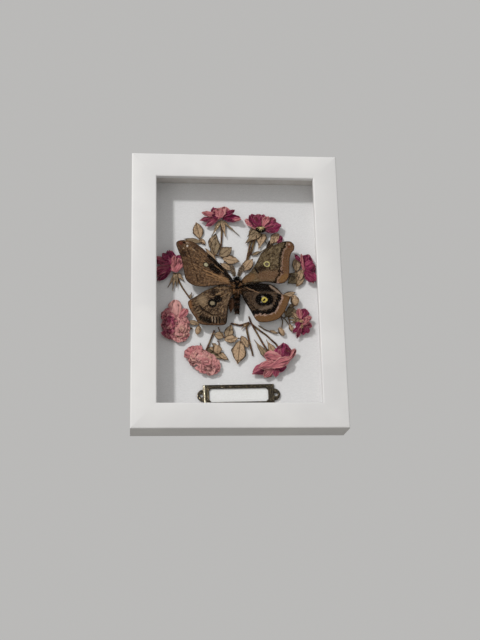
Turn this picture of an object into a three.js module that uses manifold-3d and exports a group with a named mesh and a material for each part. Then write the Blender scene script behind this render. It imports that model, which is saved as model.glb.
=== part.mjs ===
// A silk moth and eight pressed roses in a white box frame, in millimetres.
// +Z is up, the wall is the plane y = 0 and the front of the frame faces -Y.
// The origin is on the back of the top rail, in the middle, where the frame meets the wall.
import * as THREE from 'three';
import { mergeVertices } from 'three/addons/utils/BufferGeometryUtils.js';
import Module from 'manifold-3d';

const wasm = await Module();
wasm.setup();

// Driving dimensions
const WIDTH = 213.4;
const HEIGHT = 290;
const DEPTH = 37;
const FACE = 25.4; // visible width of a rail from the front
const LIP_DEPTH = 6; // thickness of the front lip
const WALL = 18.1; // thickness of a rail behind the lip
const EDGE = 0.8; // broken edge on the front corners of a rail
const GAP = 0.3; // clearance between pieces that touch
const WELD = 0.01; // bite of one solid into the next where they are fused
const GLASS = 2;
const LINER = 3; // thickness of a liner strip
const BOARD_DEPTH = 26.5; // front of the frame to the front of the board
const BOARD = 3;
const PANEL = 2.5;
const TAB = { long: 12, wide: 8, thick: 0.5, count: 8, spread: 0.28 }; // spread is a share of the opening
const HANGER = { long: 44, wide: 9, thick: 1, teeth: 8, toothed: 26.4, drop: 24 };
const RIVET = { head: 1.4, foot: 1.8, high: 1.5, apart: 35.2, sides: 6 };
const HOLDER = {
  x: 0.8, z: -106.3, tilt: 1.1, long: 71, wide: 21.4, ear: 6.2, hole: 1.9, reach: 1.9, plate: 0.8, wall: 0.8,
};
const WINDOW = { long: 59, wide: 13.6, corner: 2.2 };
const CARD = { long: 62, wide: 16.4, thick: 0.4, corner: 0.5 };
const MOTH = { x: 0.5, height: 6.6, abdomenHeight: 5.2, abdomenSides: 8 };
const STEM_RADIUS = 0.75;
const STEM_SIDES = 4;
const STEM_HEIGHT = 1.25; // middle of a stem above the board
const PETAL = 0.6; // thickness of a petal's solid
const PETAL_STEP = 0.75; // neighbouring petals lie at three heights this far apart
const PETAL_CUP = 0.35; // how far the sides of a petal lift
const BLADE_CUP = 0.3; // and the sides of a leaf or sepal
const LEAF = 0.6;
const ARC_PARTS = 3; // an arc is drawn with twice this many straight lines
const WING = 0.5;
const WING_BELLY = 0.5; // how far a wing sags between its middle and its rim
const ANTENNA_CUP = 0.5;
const BUD_STALK = 0.6; // radius of a stalk in a spray
const SAME_POINT = 1e-4;

// Derived places
const FRONT = -DEPTH;
const BOARD_FACE = FRONT + BOARD_DEPTH;
const BOARD_BACK = BOARD_FACE + BOARD;
const PANEL_FACE = BOARD_BACK + GAP;
const PANEL_BACK = PANEL_FACE + PANEL;
const GLASS_FACE = FRONT + LIP_DEPTH + GAP;
const GLASS_BACK = GLASS_FACE + GLASS;
const INNER_WIDTH = WIDTH - 2 * WALL;
const INNER_HEIGHT = HEIGHT - 2 * WALL;

const paints = {
  white_paint: [0xe9e8e6, 0.45, 0],
  glass: [0xf4f8f8, 0.05, 0],
  liner: [0xe6e4e1, 0.7, 0],
  board: [0xf0efed, 0.85, 0],
  fibreboard: [0x9a7350, 0.8, 0],
  steel: [0xb4b6b8, 0.4, 0.9],
  bronze: [0x4a4234, 0.45, 0.8],
  card: [0xf4f3ef, 0.8, 0],
  moth_fur: [0x3a261b, 0.95, 0],
  moth_wing: [0x7a5c43, 0.9, 0],
  petal_red: [0x7a2447, 0.75, 0],
  petal_pink: [0xc07a7e, 0.75, 0],
  leaf: [0x9a8560, 0.85, 0],
};

const display = new THREE.Group();
display.position.set(0, 0, WALL / 2 - HEIGHT / 2);
const part = new THREE.Group();
part.add(display);

// Solids

function solidOf(geometry) {
  const bare = geometry.clone();
  bare.deleteAttribute('normal');
  bare.deleteAttribute('uv');
  const merged = mergeVertices(bare, SAME_POINT);
  const mesh = new wasm.Mesh({
    numProp: 3,
    vertProperties: new Float32Array(merged.attributes.position.array),
    triVerts: new Uint32Array(merged.index.array),
  });
  return new wasm.Manifold(mesh);
}

function fused(solids) {
  return solids.reduce((all, next) => all.add(next));
}

function add(name, solid, paint) {
  const { vertProperties, triVerts } = solid.getMesh();
  const geometry = new THREE.BufferGeometry();
  geometry.setAttribute('position', new THREE.BufferAttribute(new Float32Array(vertProperties), 3));
  geometry.setIndex(new THREE.BufferAttribute(new Uint32Array(triVerts), 1));
  geometry.computeVertexNormals();
  const [color, roughness, metalness] = paints[paint];
  const mesh = new THREE.Mesh(geometry, new THREE.MeshStandardMaterial({ color, roughness, metalness }));
  mesh.name = name;
  display.add(mesh);
}

function box(long, deep, high, x, y, z) {
  return solidOf(new THREE.BoxGeometry(long, deep, high).translate(x, y, z));
}

// A flat outline in x and z, with its thickness running from yFront towards the wall
function plate(shape, thickness, yFront) {
  const options = { depth: thickness, bevelEnabled: false, curveSegments: ARC_PARTS };
  const geometry = new THREE.ExtrudeGeometry(shape, options);
  geometry.rotateX(Math.PI / 2);
  geometry.translate(0, yFront + thickness, 0);
  return solidOf(geometry);
}

// A point above the board, seen from the front: x to the right, z up, h towards the viewer
function above(x, z, h) {
  return new THREE.Vector3(x, BOARD_FACE - h, z);
}

// A thin closed sheet: a hub, rings of front points that run anticlockwise, and the same points behind
function sheet(hub, rings, thickness) {
  const front = [hub, ...rings.flat()];
  const back = front.map((point) => point.clone().setY(point.y + thickness));
  const count = rings[0].length;
  const last = rings.length - 1;
  const at = (ring, i) => 1 + ring * count + (i % count);
  const triangles = [];
  for (let i = 0; i < count; i += 1) {
    triangles.push([0, at(0, i), at(0, i + 1)]);
    for (let ring = 0; ring < last; ring += 1) {
      triangles.push([at(ring, i), at(ring + 1, i), at(ring + 1, i + 1)]);
      triangles.push([at(ring, i), at(ring + 1, i + 1), at(ring, i + 1)]);
    }
  }
  const behind = triangles.map(([a, b, c]) => [a + front.length, c + front.length, b + front.length]);
  const wall = [];
  for (let i = 0; i < count; i += 1) {
    const a = at(last, i);
    const b = at(last, i + 1);
    wall.push([a, a + front.length, b + front.length], [a, b + front.length, b]);
  }
  const geometry = new THREE.BufferGeometry().setFromPoints([...front, ...back]);
  geometry.setIndex([...triangles, ...behind, ...wall].flat());
  return solidOf(geometry);
}

// One side of a blade as [distance along it, half width], both as shares of its length and width
const petalOutline = [[0, 0.16], [0.55, 0.5], [0.96, 0.28]];
const leafOutline = [[0, 0], [0.3, 0.44], [0.66, 0.44], [1, 0]];
const sepalOutline = [[0, 0.34], [0.36, 0.5], [1, 0]];
const featherOutline = [[0, 0.1], [0.14, 0.4], [0.24, 0.2], [0.4, 0.5], [0.5, 0.26], [0.7, 0.44],
      [0.8, 0.2], [1, 0]];

// A blade from its base to its tip, rising from one height to the other, its sides lifted by cup
function blade([x0, z0, x1, z1, width, from, to], outline, thickness, cup = BLADE_CUP) {
  const long = Math.hypot(x1 - x0, z1 - z0);
  const side = [(z1 - z0) / long, -(x1 - x0) / long];
  const point = (t, v) => above(
    x0 + (x1 - x0) * t + side[0] * v * width,
    z0 + (z1 - z0) * t + side[1] * v * width,
    from + (to - from) * t + cup * 4 * v * v,
  );
  const right = outline.map(([t, v]) => point(t, v));
  const left = outline.filter(([, v]) => v > 0).map(([t, v]) => point(t, -v));
  return sheet(point(0.5, 0), [[...right, ...left.reverse()]], thickness);
}

function stem(points, radius = STEM_RADIUS, height = STEM_HEIGHT) {
  const path = new THREE.CatmullRomCurve3(points.map(([x, z]) => above(x, z, height)));
  const section = new THREE.Shape(new THREE.EllipseCurve(0, 0, radius, radius).getPoints(STEM_SIDES).slice(1));
  const geometry = new THREE.ExtrudeGeometry(section, {
    steps: points.length > 2 ? points.length : 1,
    bevelEnabled: false,
    extrudePath: path,
  });
  return solidOf(geometry);
}

// A lump of a bud, calyx or blossom's heart, with half sizes along x, z and the height
function lump([x, z, h, rx, rz, rh, turn = 0], detail = 0) {
  const geometry = new THREE.IcosahedronGeometry(1, detail);
  geometry.scale(rx, rh, rz);
  geometry.rotateY(THREE.MathUtils.degToRad(-turn));
  const { x: px, y, z: pz } = above(x, z, h);
  return solidOf(geometry.translate(px, y, pz));
}

// Frame

// Section of a rail: distance in from the outer edge, and y
const railSection = new THREE.Shape([
  [0, 0],
  [WALL, 0],
  [WALL, FRONT + LIP_DEPTH],
  [FACE, FRONT + LIP_DEPTH],
  [FACE, FRONT + EDGE],
  [FACE - EDGE, FRONT],
  [EDGE, FRONT],
  [0, FRONT + EDGE],
].map(([u, y]) => new THREE.Vector2(u, y)));

// A rail with mitred ends, its outer edge at the radius given from the middle of the frame
function rail(name, length, outer, turn) {
  const geometry = new THREE.ExtrudeGeometry(railSection, { depth: 1, bevelEnabled: false });
  const place = geometry.attributes.position;
  for (let i = 0; i < place.count; i += 1) {
    const inward = place.getX(i);
    const end = Math.sign(place.getZ(i) - 0.5);
    const y = place.getY(i);
    place.setXYZ(i, end * (length / 2 - inward - GAP / 2), y, outer - inward);
  }
  geometry.rotateY(THREE.MathUtils.degToRad(turn));
  add(name, solidOf(geometry), 'white_paint');
}

rail('rail_top', WIDTH, HEIGHT / 2, 0);
rail('rail_right', HEIGHT, WIDTH / 2, 90);
rail('rail_bottom', WIDTH, HEIGHT / 2, 180);
rail('rail_left', HEIGHT, WIDTH / 2, 270);

const paneWidth = INNER_WIDTH - 2 * GAP;
const paneHeight = INNER_HEIGHT - 2 * GAP;
add('glass_pane', box(paneWidth, GLASS, paneHeight, 0, GLASS_FACE + GLASS / 2, 0), 'glass');
add('backing_board', box(paneWidth, BOARD, paneHeight, 0, BOARD_FACE + BOARD / 2, 0), 'board');
add('rear_panel', box(paneWidth, PANEL, paneHeight, 0, PANEL_FACE + PANEL / 2, 0), 'fibreboard');

const linerDeep = BOARD_FACE - GLASS_BACK - 2 * GAP;
const linerY = (BOARD_FACE + GLASS_BACK) / 2;
const linerHigh = paneHeight - 2 * (LINER + GAP);
for (const [side, sign] of [['top', 1], ['bottom', -1]]) {
  add(`liner_${side}`, box(paneWidth, linerDeep, LINER, 0, linerY, sign * (paneHeight - LINER) / 2), 'liner');
}
for (const [side, sign] of [['left', -1], ['right', 1]]) {
  add(`liner_${side}`, box(LINER, linerDeep, linerHigh, sign * (paneWidth - LINER) / 2, linerY, 0), 'liner');
}

// Steel tabs, two on each side, with their outer ends at the rails
for (let i = 0; i < TAB.count; i += 1) {
  const upright = i < TAB.count / 2;
  const sign = i % 2 === 0 ? 1 : -1;
  const along = (i % 4 < 2 ? 1 : -1) * (upright ? INNER_HEIGHT : INNER_WIDTH) * TAB.spread;
  const across = sign * ((upright ? INNER_WIDTH : INNER_HEIGHT) / 2 - GAP - TAB.long / 2);
  const y = PANEL_BACK + GAP + TAB.thick / 2;
  const tab = upright
    ? box(TAB.long, TAB.thick, TAB.wide, across, y, along)
    : box(TAB.wide, TAB.thick, TAB.long, along, y, across);
  add(`back_tab_${i + 1}`, tab, 'steel');
}

function hanger() {
  const half = HANGER.long / 2;
  const tooth = HANGER.toothed / HANGER.teeth;
  const edge = [[-half, 0], [half, 0], [half, HANGER.wide], [-half, HANGER.wide]];
  const teeth = [];
  for (let i = 0; i < HANGER.teeth; i += 1) {
    const x = tooth * (i - HANGER.teeth / 2);
    teeth.push([x, 0], [x + tooth / 2, tooth / 2]);
  }
  const shape = new THREE.Shape([edge[0], ...teeth, [tooth * HANGER.teeth / 2, 0], ...edge.slice(1)]
    .map(([x, z]) => new THREE.Vector2(x, z + INNER_HEIGHT / 2 - HANGER.drop)));
  const y = PANEL_BACK + GAP;
  const rivets = [-1, 1].map((sign) => {
    const geometry = new THREE.CylinderGeometry(RIVET.head, RIVET.foot, RIVET.high, RIVET.sides);
    const z = INNER_HEIGHT / 2 - HANGER.drop + HANGER.wide / 2;
    return solidOf(geometry.translate(sign * RIVET.apart / 2, y + RIVET.high / 2, z));
  });
  return fused([plate(shape, HANGER.thick, y), ...rivets]);
}
add('sawtooth_hanger', hanger(), 'steel');

// Label

function roundedBar(shape, long, wide, corner) {
  const x = long / 2;
  const z = wide / 2;
  shape.moveTo(-x + corner, -z);
  shape.lineTo(x - corner, -z);
  shape.lineTo(x, -z + corner);
  shape.lineTo(x, z - corner);
  shape.lineTo(x - corner, z);
  shape.lineTo(-x + corner, z);
  shape.lineTo(-x, z - corner);
  shape.lineTo(-x, -z + corner);
  shape.closePath();
  return shape;
}

function holderOutline(opening) {
  const x = HOLDER.long / 2;
  const z = HOLDER.wide / 2;
  const shape = new THREE.Shape();
  shape.moveTo(-x, -z);
  shape.lineTo(x, -z);
  shape.absarc(x, 0, HOLDER.ear, -Math.PI / 2, Math.PI / 2);
  shape.lineTo(x, z);
  shape.lineTo(-x, z);
  shape.absarc(-x, 0, HOLDER.ear, Math.PI / 2, 1.5 * Math.PI);
  shape.closePath();
  shape.holes.push(opening);
  for (const sign of [-1, 1]) {
    const hole = new THREE.Path();
    hole.absarc(sign * (x + HOLDER.reach), 0, HOLDER.hole, 0, 2 * Math.PI);
    shape.holes.push(hole);
  }
  return shape;
}

// The holder lies on the board: a front plate with the window, on a wall round the card's pocket
function onLabel(solid) {
  return solid.rotate([0, -HOLDER.tilt, 0]).translate([HOLDER.x, 0, HOLDER.z]);
}
const holderFace = BOARD_FACE - GAP - HOLDER.wall - HOLDER.plate;
const pocket = roundedBar(new THREE.Path(), CARD.long + 2 * GAP, CARD.wide + 2 * GAP, CARD.corner);
const windowPath = roundedBar(new THREE.Path(), WINDOW.long, WINDOW.wide, WINDOW.corner);
const holder = fused([
  plate(holderOutline(windowPath), HOLDER.plate + WELD, holderFace),
  plate(holderOutline(pocket), HOLDER.wall, holderFace + HOLDER.plate),
]);
add('label_holder', onLabel(holder), 'bronze');
const card = box(CARD.long, CARD.thick, CARD.wide, 0, BOARD_FACE - GAP - CARD.thick / 2, 0);
add('label_card', onLabel(card), 'card');

// Moth

// Abdomen as [radius, z] from its end; thorax and head are lumps. All of it can be grown by a clearance.
function mothBody(grow) {
  const profile = [[0, -23], [1.7, -22.2], [2.9, -18], [2.6, -16.8], [3.4, -12], [3.1, -10.8],
      [3.7, -4], [2.6, 0],
    [0, 1]].map(([r, z]) => new THREE.Vector2(r === 0 ? 0 : r + grow, z));
  const abdomen = new THREE.LatheGeometry(profile, MOTH.abdomenSides);
  abdomen.rotateX(Math.PI / 2);
  const { y } = above(0, 0, MOTH.abdomenHeight);
  const turned = solidOf(abdomen.translate(MOTH.x, y, 0));
  const thorax = lump([MOTH.x, 5, MOTH.height, 4.6 + grow, 8 + grow, 5.9 + grow], 1);
  const head = lump([MOTH.x, 13.2, MOTH.height, 2.6 + grow, 3 + grow, 3 + grow], 1);
  return fused([turned, thorax, head]);
}
add('moth_body', mothBody(0), 'moth_fur');

// Wing outlines, anticlockwise from the front, as [x, z]; the hub is a point well inside
const wings = {
  forewing_left: {
    hub: [-34, 26], base: 11.2, tip: 12.6,
    rim: [[-2.4, 9.6], [-9, 20.7], [-21, 33.7], [-29.1, 41.2], [-36.2, 47.7], [-44.4, 53], [-53.6, 54.4],
      [-59.4, 53], [-61, 49.6], [-58.8, 42.6], [-55.4, 33], [-53.6, 23], [-52.4, 14.8], [-49.6, 9.4],
      [-43, 5.4],
      [-34, 4], [-25, 5.2], [-14, 6.4], [-5, 6.6]],
  },
  forewing_right: {
    hub: [38, 28], base: 11.2, tip: 12.4,
    rim: [[4, 8], [12, 7.4], [20.5, 8], [29.8, 10.2], [38, 8.7], [44.4, 8.2], [50, 9.6], [53.8, 15],
      [55, 22],
      [55.6, 33.5], [57.3, 41], [60.4, 45], [60.8, 50.2], [57.6, 54], [53, 54.6], [48.8, 54.4], [39.4, 51],
      [33, 47.6], [26.6, 42], [21.4, 32], [19.9, 25.4], [15.6, 20.4], [7.6, 15]],
  },
  hindwing_left: {
    hub: [-26, -16], base: 9.6, tip: 10.2,
    rim: [[-1.6, 1], [-12, 4.2], [-24.5, 3.6], [-32.7, -0.7], [-41, -6.2], [-48, -10.2], [-49.4, -13],
      [-48.1, -18], [-46.1, -22.2], [-42.1, -28.5], [-39.2, -33.7], [-34.2, -35.8], [-25, -36.2],
      [-15.4, -36],
      [-11, -34.2], [-9.8, -28], [-8.6, -18.7], [-7, -9], [-4, -3]],
  },
  hindwing_right: {
    hub: [30, -12], base: 9.6, tip: 10.2,
    rim: [[2.6, 1], [4.6, -2.6], [7, -8], [11.3, -15.4], [14.7, -21.7], [18.5, -29.1], [22.6, -32.2],
      [29.6, -32.6], [36.8, -31.2], [42.5, -28.8], [47.3, -23.6], [50.6, -17.2], [53.9, -9.7], [54.2, -5.4],
      [47, -2.6], [42, 2], [35, 5.6], [20, 6], [8, 4.6]],
  },
};

// A wing lies nearly flat above the flowers, with a shallow belly and a lifted tip
function wing({ hub, rim, base, tip }) {
  const reach = Math.max(...rim.map(([x]) => Math.abs(x)));
  const height = (x, share) => {
    const out = Math.abs(x) / reach;
    return base + (tip - base) * out * out - WING_BELLY * 4 * share * (1 - share);
  };
  const ring = (share) => rim.map(([x, z]) => {
    const px = hub[0] + (x - hub[0]) * share;
    const pz = hub[1] + (z - hub[1]) * share;
    return above(px, pz, height(px, share));
  });
  return sheet(above(hub[0], hub[1], height(hub[0], 0)), [ring(0.5), ring(1)], WING);
}
const bodyRoom = mothBody(GAP);
for (const [name, shape] of Object.entries(wings)) {
  add(name, wing(shape).subtract(bodyRoom), 'moth_wing');
}

const antennae = {
  antenna_left: [-1.6, 16.4, -4.6, 28, 5, 8.6, 9.6],
  antenna_right: [2.8, 16.4, 7.4, 28, 5, 8.6, 9.6],
};
for (const [name, place] of Object.entries(antennae)) {
  add(name, blade(place, featherOutline, WING, ANTENNA_CUP), 'moth_fur');
}

// Roses. A blade is [base x, base z, tip x, tip z, width, height at the base, height at the tip].
// heart is a lump that joins the petals: x, z, h, half sizes, turn.
const roses = {
  rose_top_left: {
    paint: 'petal_red',
    heart: [-14.5, 83.5, 5.6, 5, 3.4, 2.1, 0],
    petals: [[-17.5, 84.5, -22, 95.5, 8, 5, 2.4], [-11, 85, -8, 97, 10.5, 4.8, 1.6],
      [-15, 82, -15.5, 93, 12.5, 5.6, 7.2],
      [-12, 82.5, 7, 83.5, 9, 5, 4.6], [-2, 81.5, 7.5, 80.5, 4.5, 4.4, 6],
      [-17, 85, -34.5, 87.5, 6.5, 5, 5.4], [-17, 83, -36.5, 80, 5.5, 5, 4.2],
      [-17, 81.5, -30.5, 73.5, 6, 4.6, 3],
      [-13, 84, 1, 91, 5.5, 4.6, 5.4]],
    calyx: [-13, 79, 1.8, 2.6, 2.4, 1.3],
    stems: [[[-13, 79], [-13.2, 66], [-13.6, 58.5], [-14.5, 46]]],
    sepals: [[-14.5, 80, -24.5, 61.5, 4.5, 2.4, 2.2], [-12.6, 80, -9, 61, 5, 2.4, 2.4],
      [-11.5, 79.5, 6, 63.5, 2.6, 2.4, 1.6]],
  },
  rose_top_right: {
    paint: 'petal_red',
    heart: [28, 71.8, 5.8, 5, 3.4, 2.2, 0],
    petals: [[24.5, 71, 11, 82.5, 7.5, 5, 3], [25, 72, 16.5, 86.5, 9.5, 5.4, 5.4],
      [26.5, 73, 24.5, 88, 10.5, 5, 3.4],
      [28, 73, 31, 87.5, 8, 5.6, 5.2], [29.5, 73, 35.5, 84.5, 6.5, 6, 7.4],
      [30.5, 71.5, 43.5, 83, 12, 5, 4.2],
      [30, 70.5, 49.5, 74.5, 13, 5.6, 6.2]],
    calyx: [24, 66, 1.8, 2.8, 2.6, 1.3],
    stems: [[[22.5, 64], [21, 58], [17, 43.5]], [[20, 63], [16.5, 56], [11.5, 34.5]]],
    sepals: [[25.5, 69, 14, 57, 10, 2.4, 2], [29, 65.5, 26.5, 50, 8, 2.4, 2],
      [24.5, 67, 30, 63, 4, 2.2, 2.2]],
  },
  rose_left: {
    paint: 'petal_red',
    heart: [-64.5, 28, 5.6, 5.4, 5, 2.1, 0],
    petals: [[-65.5, 29.5, -67.5, 46.5, 10.5, 5, 4.6], [-63, 30.5, -55, 40, 8.5, 5, 5.4],
      [-66, 30.5, -84, 36, 9.5, 5.2, 5],
      [-66, 27, -84.4, 19.5, 11.5, 5, 4], [-66.5, 26, -80, 13, 8, 5, 2.6], [-64, 28, -63, 39, 4.5, 6, 6.6],
      [-63, 22, -57, 37, 12, 5.6, 7]],
    calyx: [-60.5, 19.5, 1.8, 2.6, 2.6, 1.3],
    stems: [[[-60.5, 19], [-56, 9], [-46.5, -5.5]]],
    sepals: [[-62, 22, -64.6, 2, 4.4, 2.4, 1.6], [-62, 21, -69.6, 6, 3, 2.2, 1.4],
      [-60.5, 20.5, -60, 5.5, 3.4, 2.4, 1.6],
      [-59.5, 21, -52.5, 13, 5, 2.4, 1.8], [-47.4, -5, -44.6, 1.4, 3.4, 1.6, 1.6]],
  },
  rose_left_low: {
    paint: 'petal_pink',
    heart: [-61.5, -31.5, 5.8, 5.6, 10, 2.3, 0],
    petals: [[-60.5, -24, -60.5, -7, 10.5, 5, 3.6], [-61.5, -26, -72, -18.5, 10.5, 5, 3],
      [-61.5, -30, -76.5, -30, 12, 5, 3],
      [-61.5, -35, -72.5, -42.5, 10, 5, 3.4], [-61.5, -38, -68, -49.5, 8.5, 5, 3],
      [-61.5, -39, -63, -53, 8.5, 5.2, 4],
      [-59, -38, -51.5, -49.5, 9.5, 5, 3.4], [-62, -34.5, -51.5, -35.5, 9, 5.4, 6.4],
      [-59, -29, -49, -18, 7, 5, 4.4],
      [-62.5, -30, -61.5, -20, 5.5, 6.4, 7.4]],
    calyx: [-58, -35, 1.7, 3, 3, 1.2],
    stems: [[[-58, -35], [-51, -38], [-44.8, -36.8]]],
    sepals: [[-57, -37, -49, -41, 3, 2.2, 1.6]],
  },
  rose_bottom_left: {
    paint: 'petal_pink',
    heart: [-33.5, -72, 5.8, 9.5, 4.6, 2.3, -36],
    petals: [[-37.5, -70, -48, -56.5, 13, 5, 3.2], [-38, -70, -53.5, -65.5, 11, 5, 3],
      [-37, -71.5, -47, -72.5, 7.5, 5.4, 4.2],
      [-34.5, -73, -47, -78, 9, 5, 3.2], [-32.5, -73.5, -36, -81, 7.5, 5, 3.2],
      [-29.5, -75, -29.5, -84.5, 11.5, 5, 3.2],
      [-28, -75, -24, -87.5, 7, 5, 3], [-28, -74.5, -18, -79.5, 9, 5.2, 3.6],
      [-31.5, -70.5, -22, -68, 10, 5, 4.6],
      [-35.5, -69, -39, -57, 11.5, 5.2, 3.6]],
    calyx: [-33, -65, 1.7, 2.8, 2.8, 1.2],
    stems: [[[-33, -65], [-29.5, -57], [-25, -45.5], [-22.5, -39]]],
    sepals: [[-34.5, -64, -37.4, -52, 3.4, 2.2, 1.8]],
  },
  rose_bottom_right: {
    paint: 'petal_red',
    heart: [40.5, -72.5, 5.8, 6.6, 4, 2.3, 20],
    petals: [[43, -71.5, 48.5, -52, 15, 5, 4.2], [43.5, -72, 54, -55.5, 5.5, 5.4, 7],
      [44, -72, 58.5, -61, 6, 4.8, 4.6],
      [41.5, -69.5, 26, -68, 9, 5.4, 5.8], [38, -73, 14, -84.5, 9.5, 5, 4],
      [37.5, -75.5, 28.5, -89, 8, 5.4, 3.2],
      [38.5, -73.5, 52.5, -71.5, 6, 6.4, 7.4], [37, -75.5, 46.5, -79, 7.5, 5.6, 4.4],
      [41, -75, 52, -75, 4.5, 5, 4],
      [37.5, -74, 38.5, -88, 6, 5.4, 3]],
    calyx: [33, -64.5, 1.8, 3, 2.8, 1.3],
    stems: [[[32.5, -64], [31, -60], [22, -44], [13, -30.5], [7.6, -17]], [[42, -56.5], [40, -53],
      [30.5, -44], [14.6, -31]],
      [[13.2, -31], [10, -35.5], [12.5, -49.5], [16, -65.5]], [[13.4, -30.6], [4, -33.5], [-5.5, -31.5]]],
    sepals: [[29.5, -66.2, 17, -48, 7, 2.2, 1.8], [37.5, -63, 29.8, -48, 8, 2.4, 2],
      [38, -62, 43, -55.5, 4, 2.2, 1.8],
      [9.8, -32.2, 4.6, -38.2, 2.6, 1.6, 1.6]],
  },
  rose_right: {
    paint: 'petal_red',
    heart: [72, 26.4, 5.6, 3.6, 6.4, 2.1, 0],
    petals: [[71.4, 28, 77, 43.5, 12.5, 5, 4.6], [71.5, 26, 83.4, 30.5, 15.5, 5, 5.4],
      [72, 24, 83, 12.5, 11.5, 5.2, 4.4],
      [72.5, 24, 81, 10.5, 5, 5, 5.4], [70.8, 24.5, 68.5, 43, 3, 5.6, 6.8],
      [71, 32, 61.4, 42.4, 4, 5, 5.6]],
    calyx: [71, 24, 1.35, 2, 2.4, 0.85],
    stems: [[[71, 23.6], [61.6, 23.4], [50, 21]]],
    sepals: [[71, 24.6, 72, 34, 3.4, 2, 1.9]],
  },
  rose_right_low: {
    paint: 'petal_red',
    heart: [67.5, -31.4, 5.8, 3.8, 5.6, 2.2, 0],
    petals: [[66.5, -28.5, 71.5, -16, 11, 5, 4.6], [65.5, -27.5, 63.5, -16.5, 6, 5, 5.6],
      [68.5, -29.5, 77, -25.5, 5.5, 5.2, 4.6],
      [66.5, -30.5, 61, -37.5, 8, 5, 4.4], [66.5, -34, 57, -42, 4.5, 4.8, 3.4],
      [66, -35, 61, -48, 4, 4.8, 2.6], [68, -34, 68, -44.5, 6, 5, 3.4], [69, -33.5, 73, -42.5, 6, 5, 3.8],
      [69.5, -31, 76.5, -37, 5.5, 5, 4.2]],
    calyx: [63, -28.6, 1.8, 2.4, 2.4, 1.3],
    stems: [],
    sepals: [[63.5, -29.5, 55.5, -21.5, 3.4, 2.4, 2.2], [63.5, -28, 59, -17.5, 3.4, 2.4, 2.2],
      [63.5, -29.2, 51.6, -27, 3.4, 2.6, 3]],
  },
};
for (const [name, rose] of Object.entries(roses)) {
  const petals = rose.petals.map(([x0, z0, x1, z1, width, from, to], i) => {
    const step = (i % 3) * PETAL_STEP;
    return blade([x0, z0, x1, z1, width, from + step, to + step], petalOutline, PETAL, PETAL_CUP);
  });
  add(name, fused([lump(rose.heart), ...petals]), rose.paint);
  const stems = rose.stems.map((points) => stem(points));
  const sepals = rose.sepals.map((sepal) => blade(sepal, sepalOutline, LEAF));
  add(`${name}_stem`, fused([lump(rose.calyx), ...stems, ...sepals]), 'leaf');
}

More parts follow.
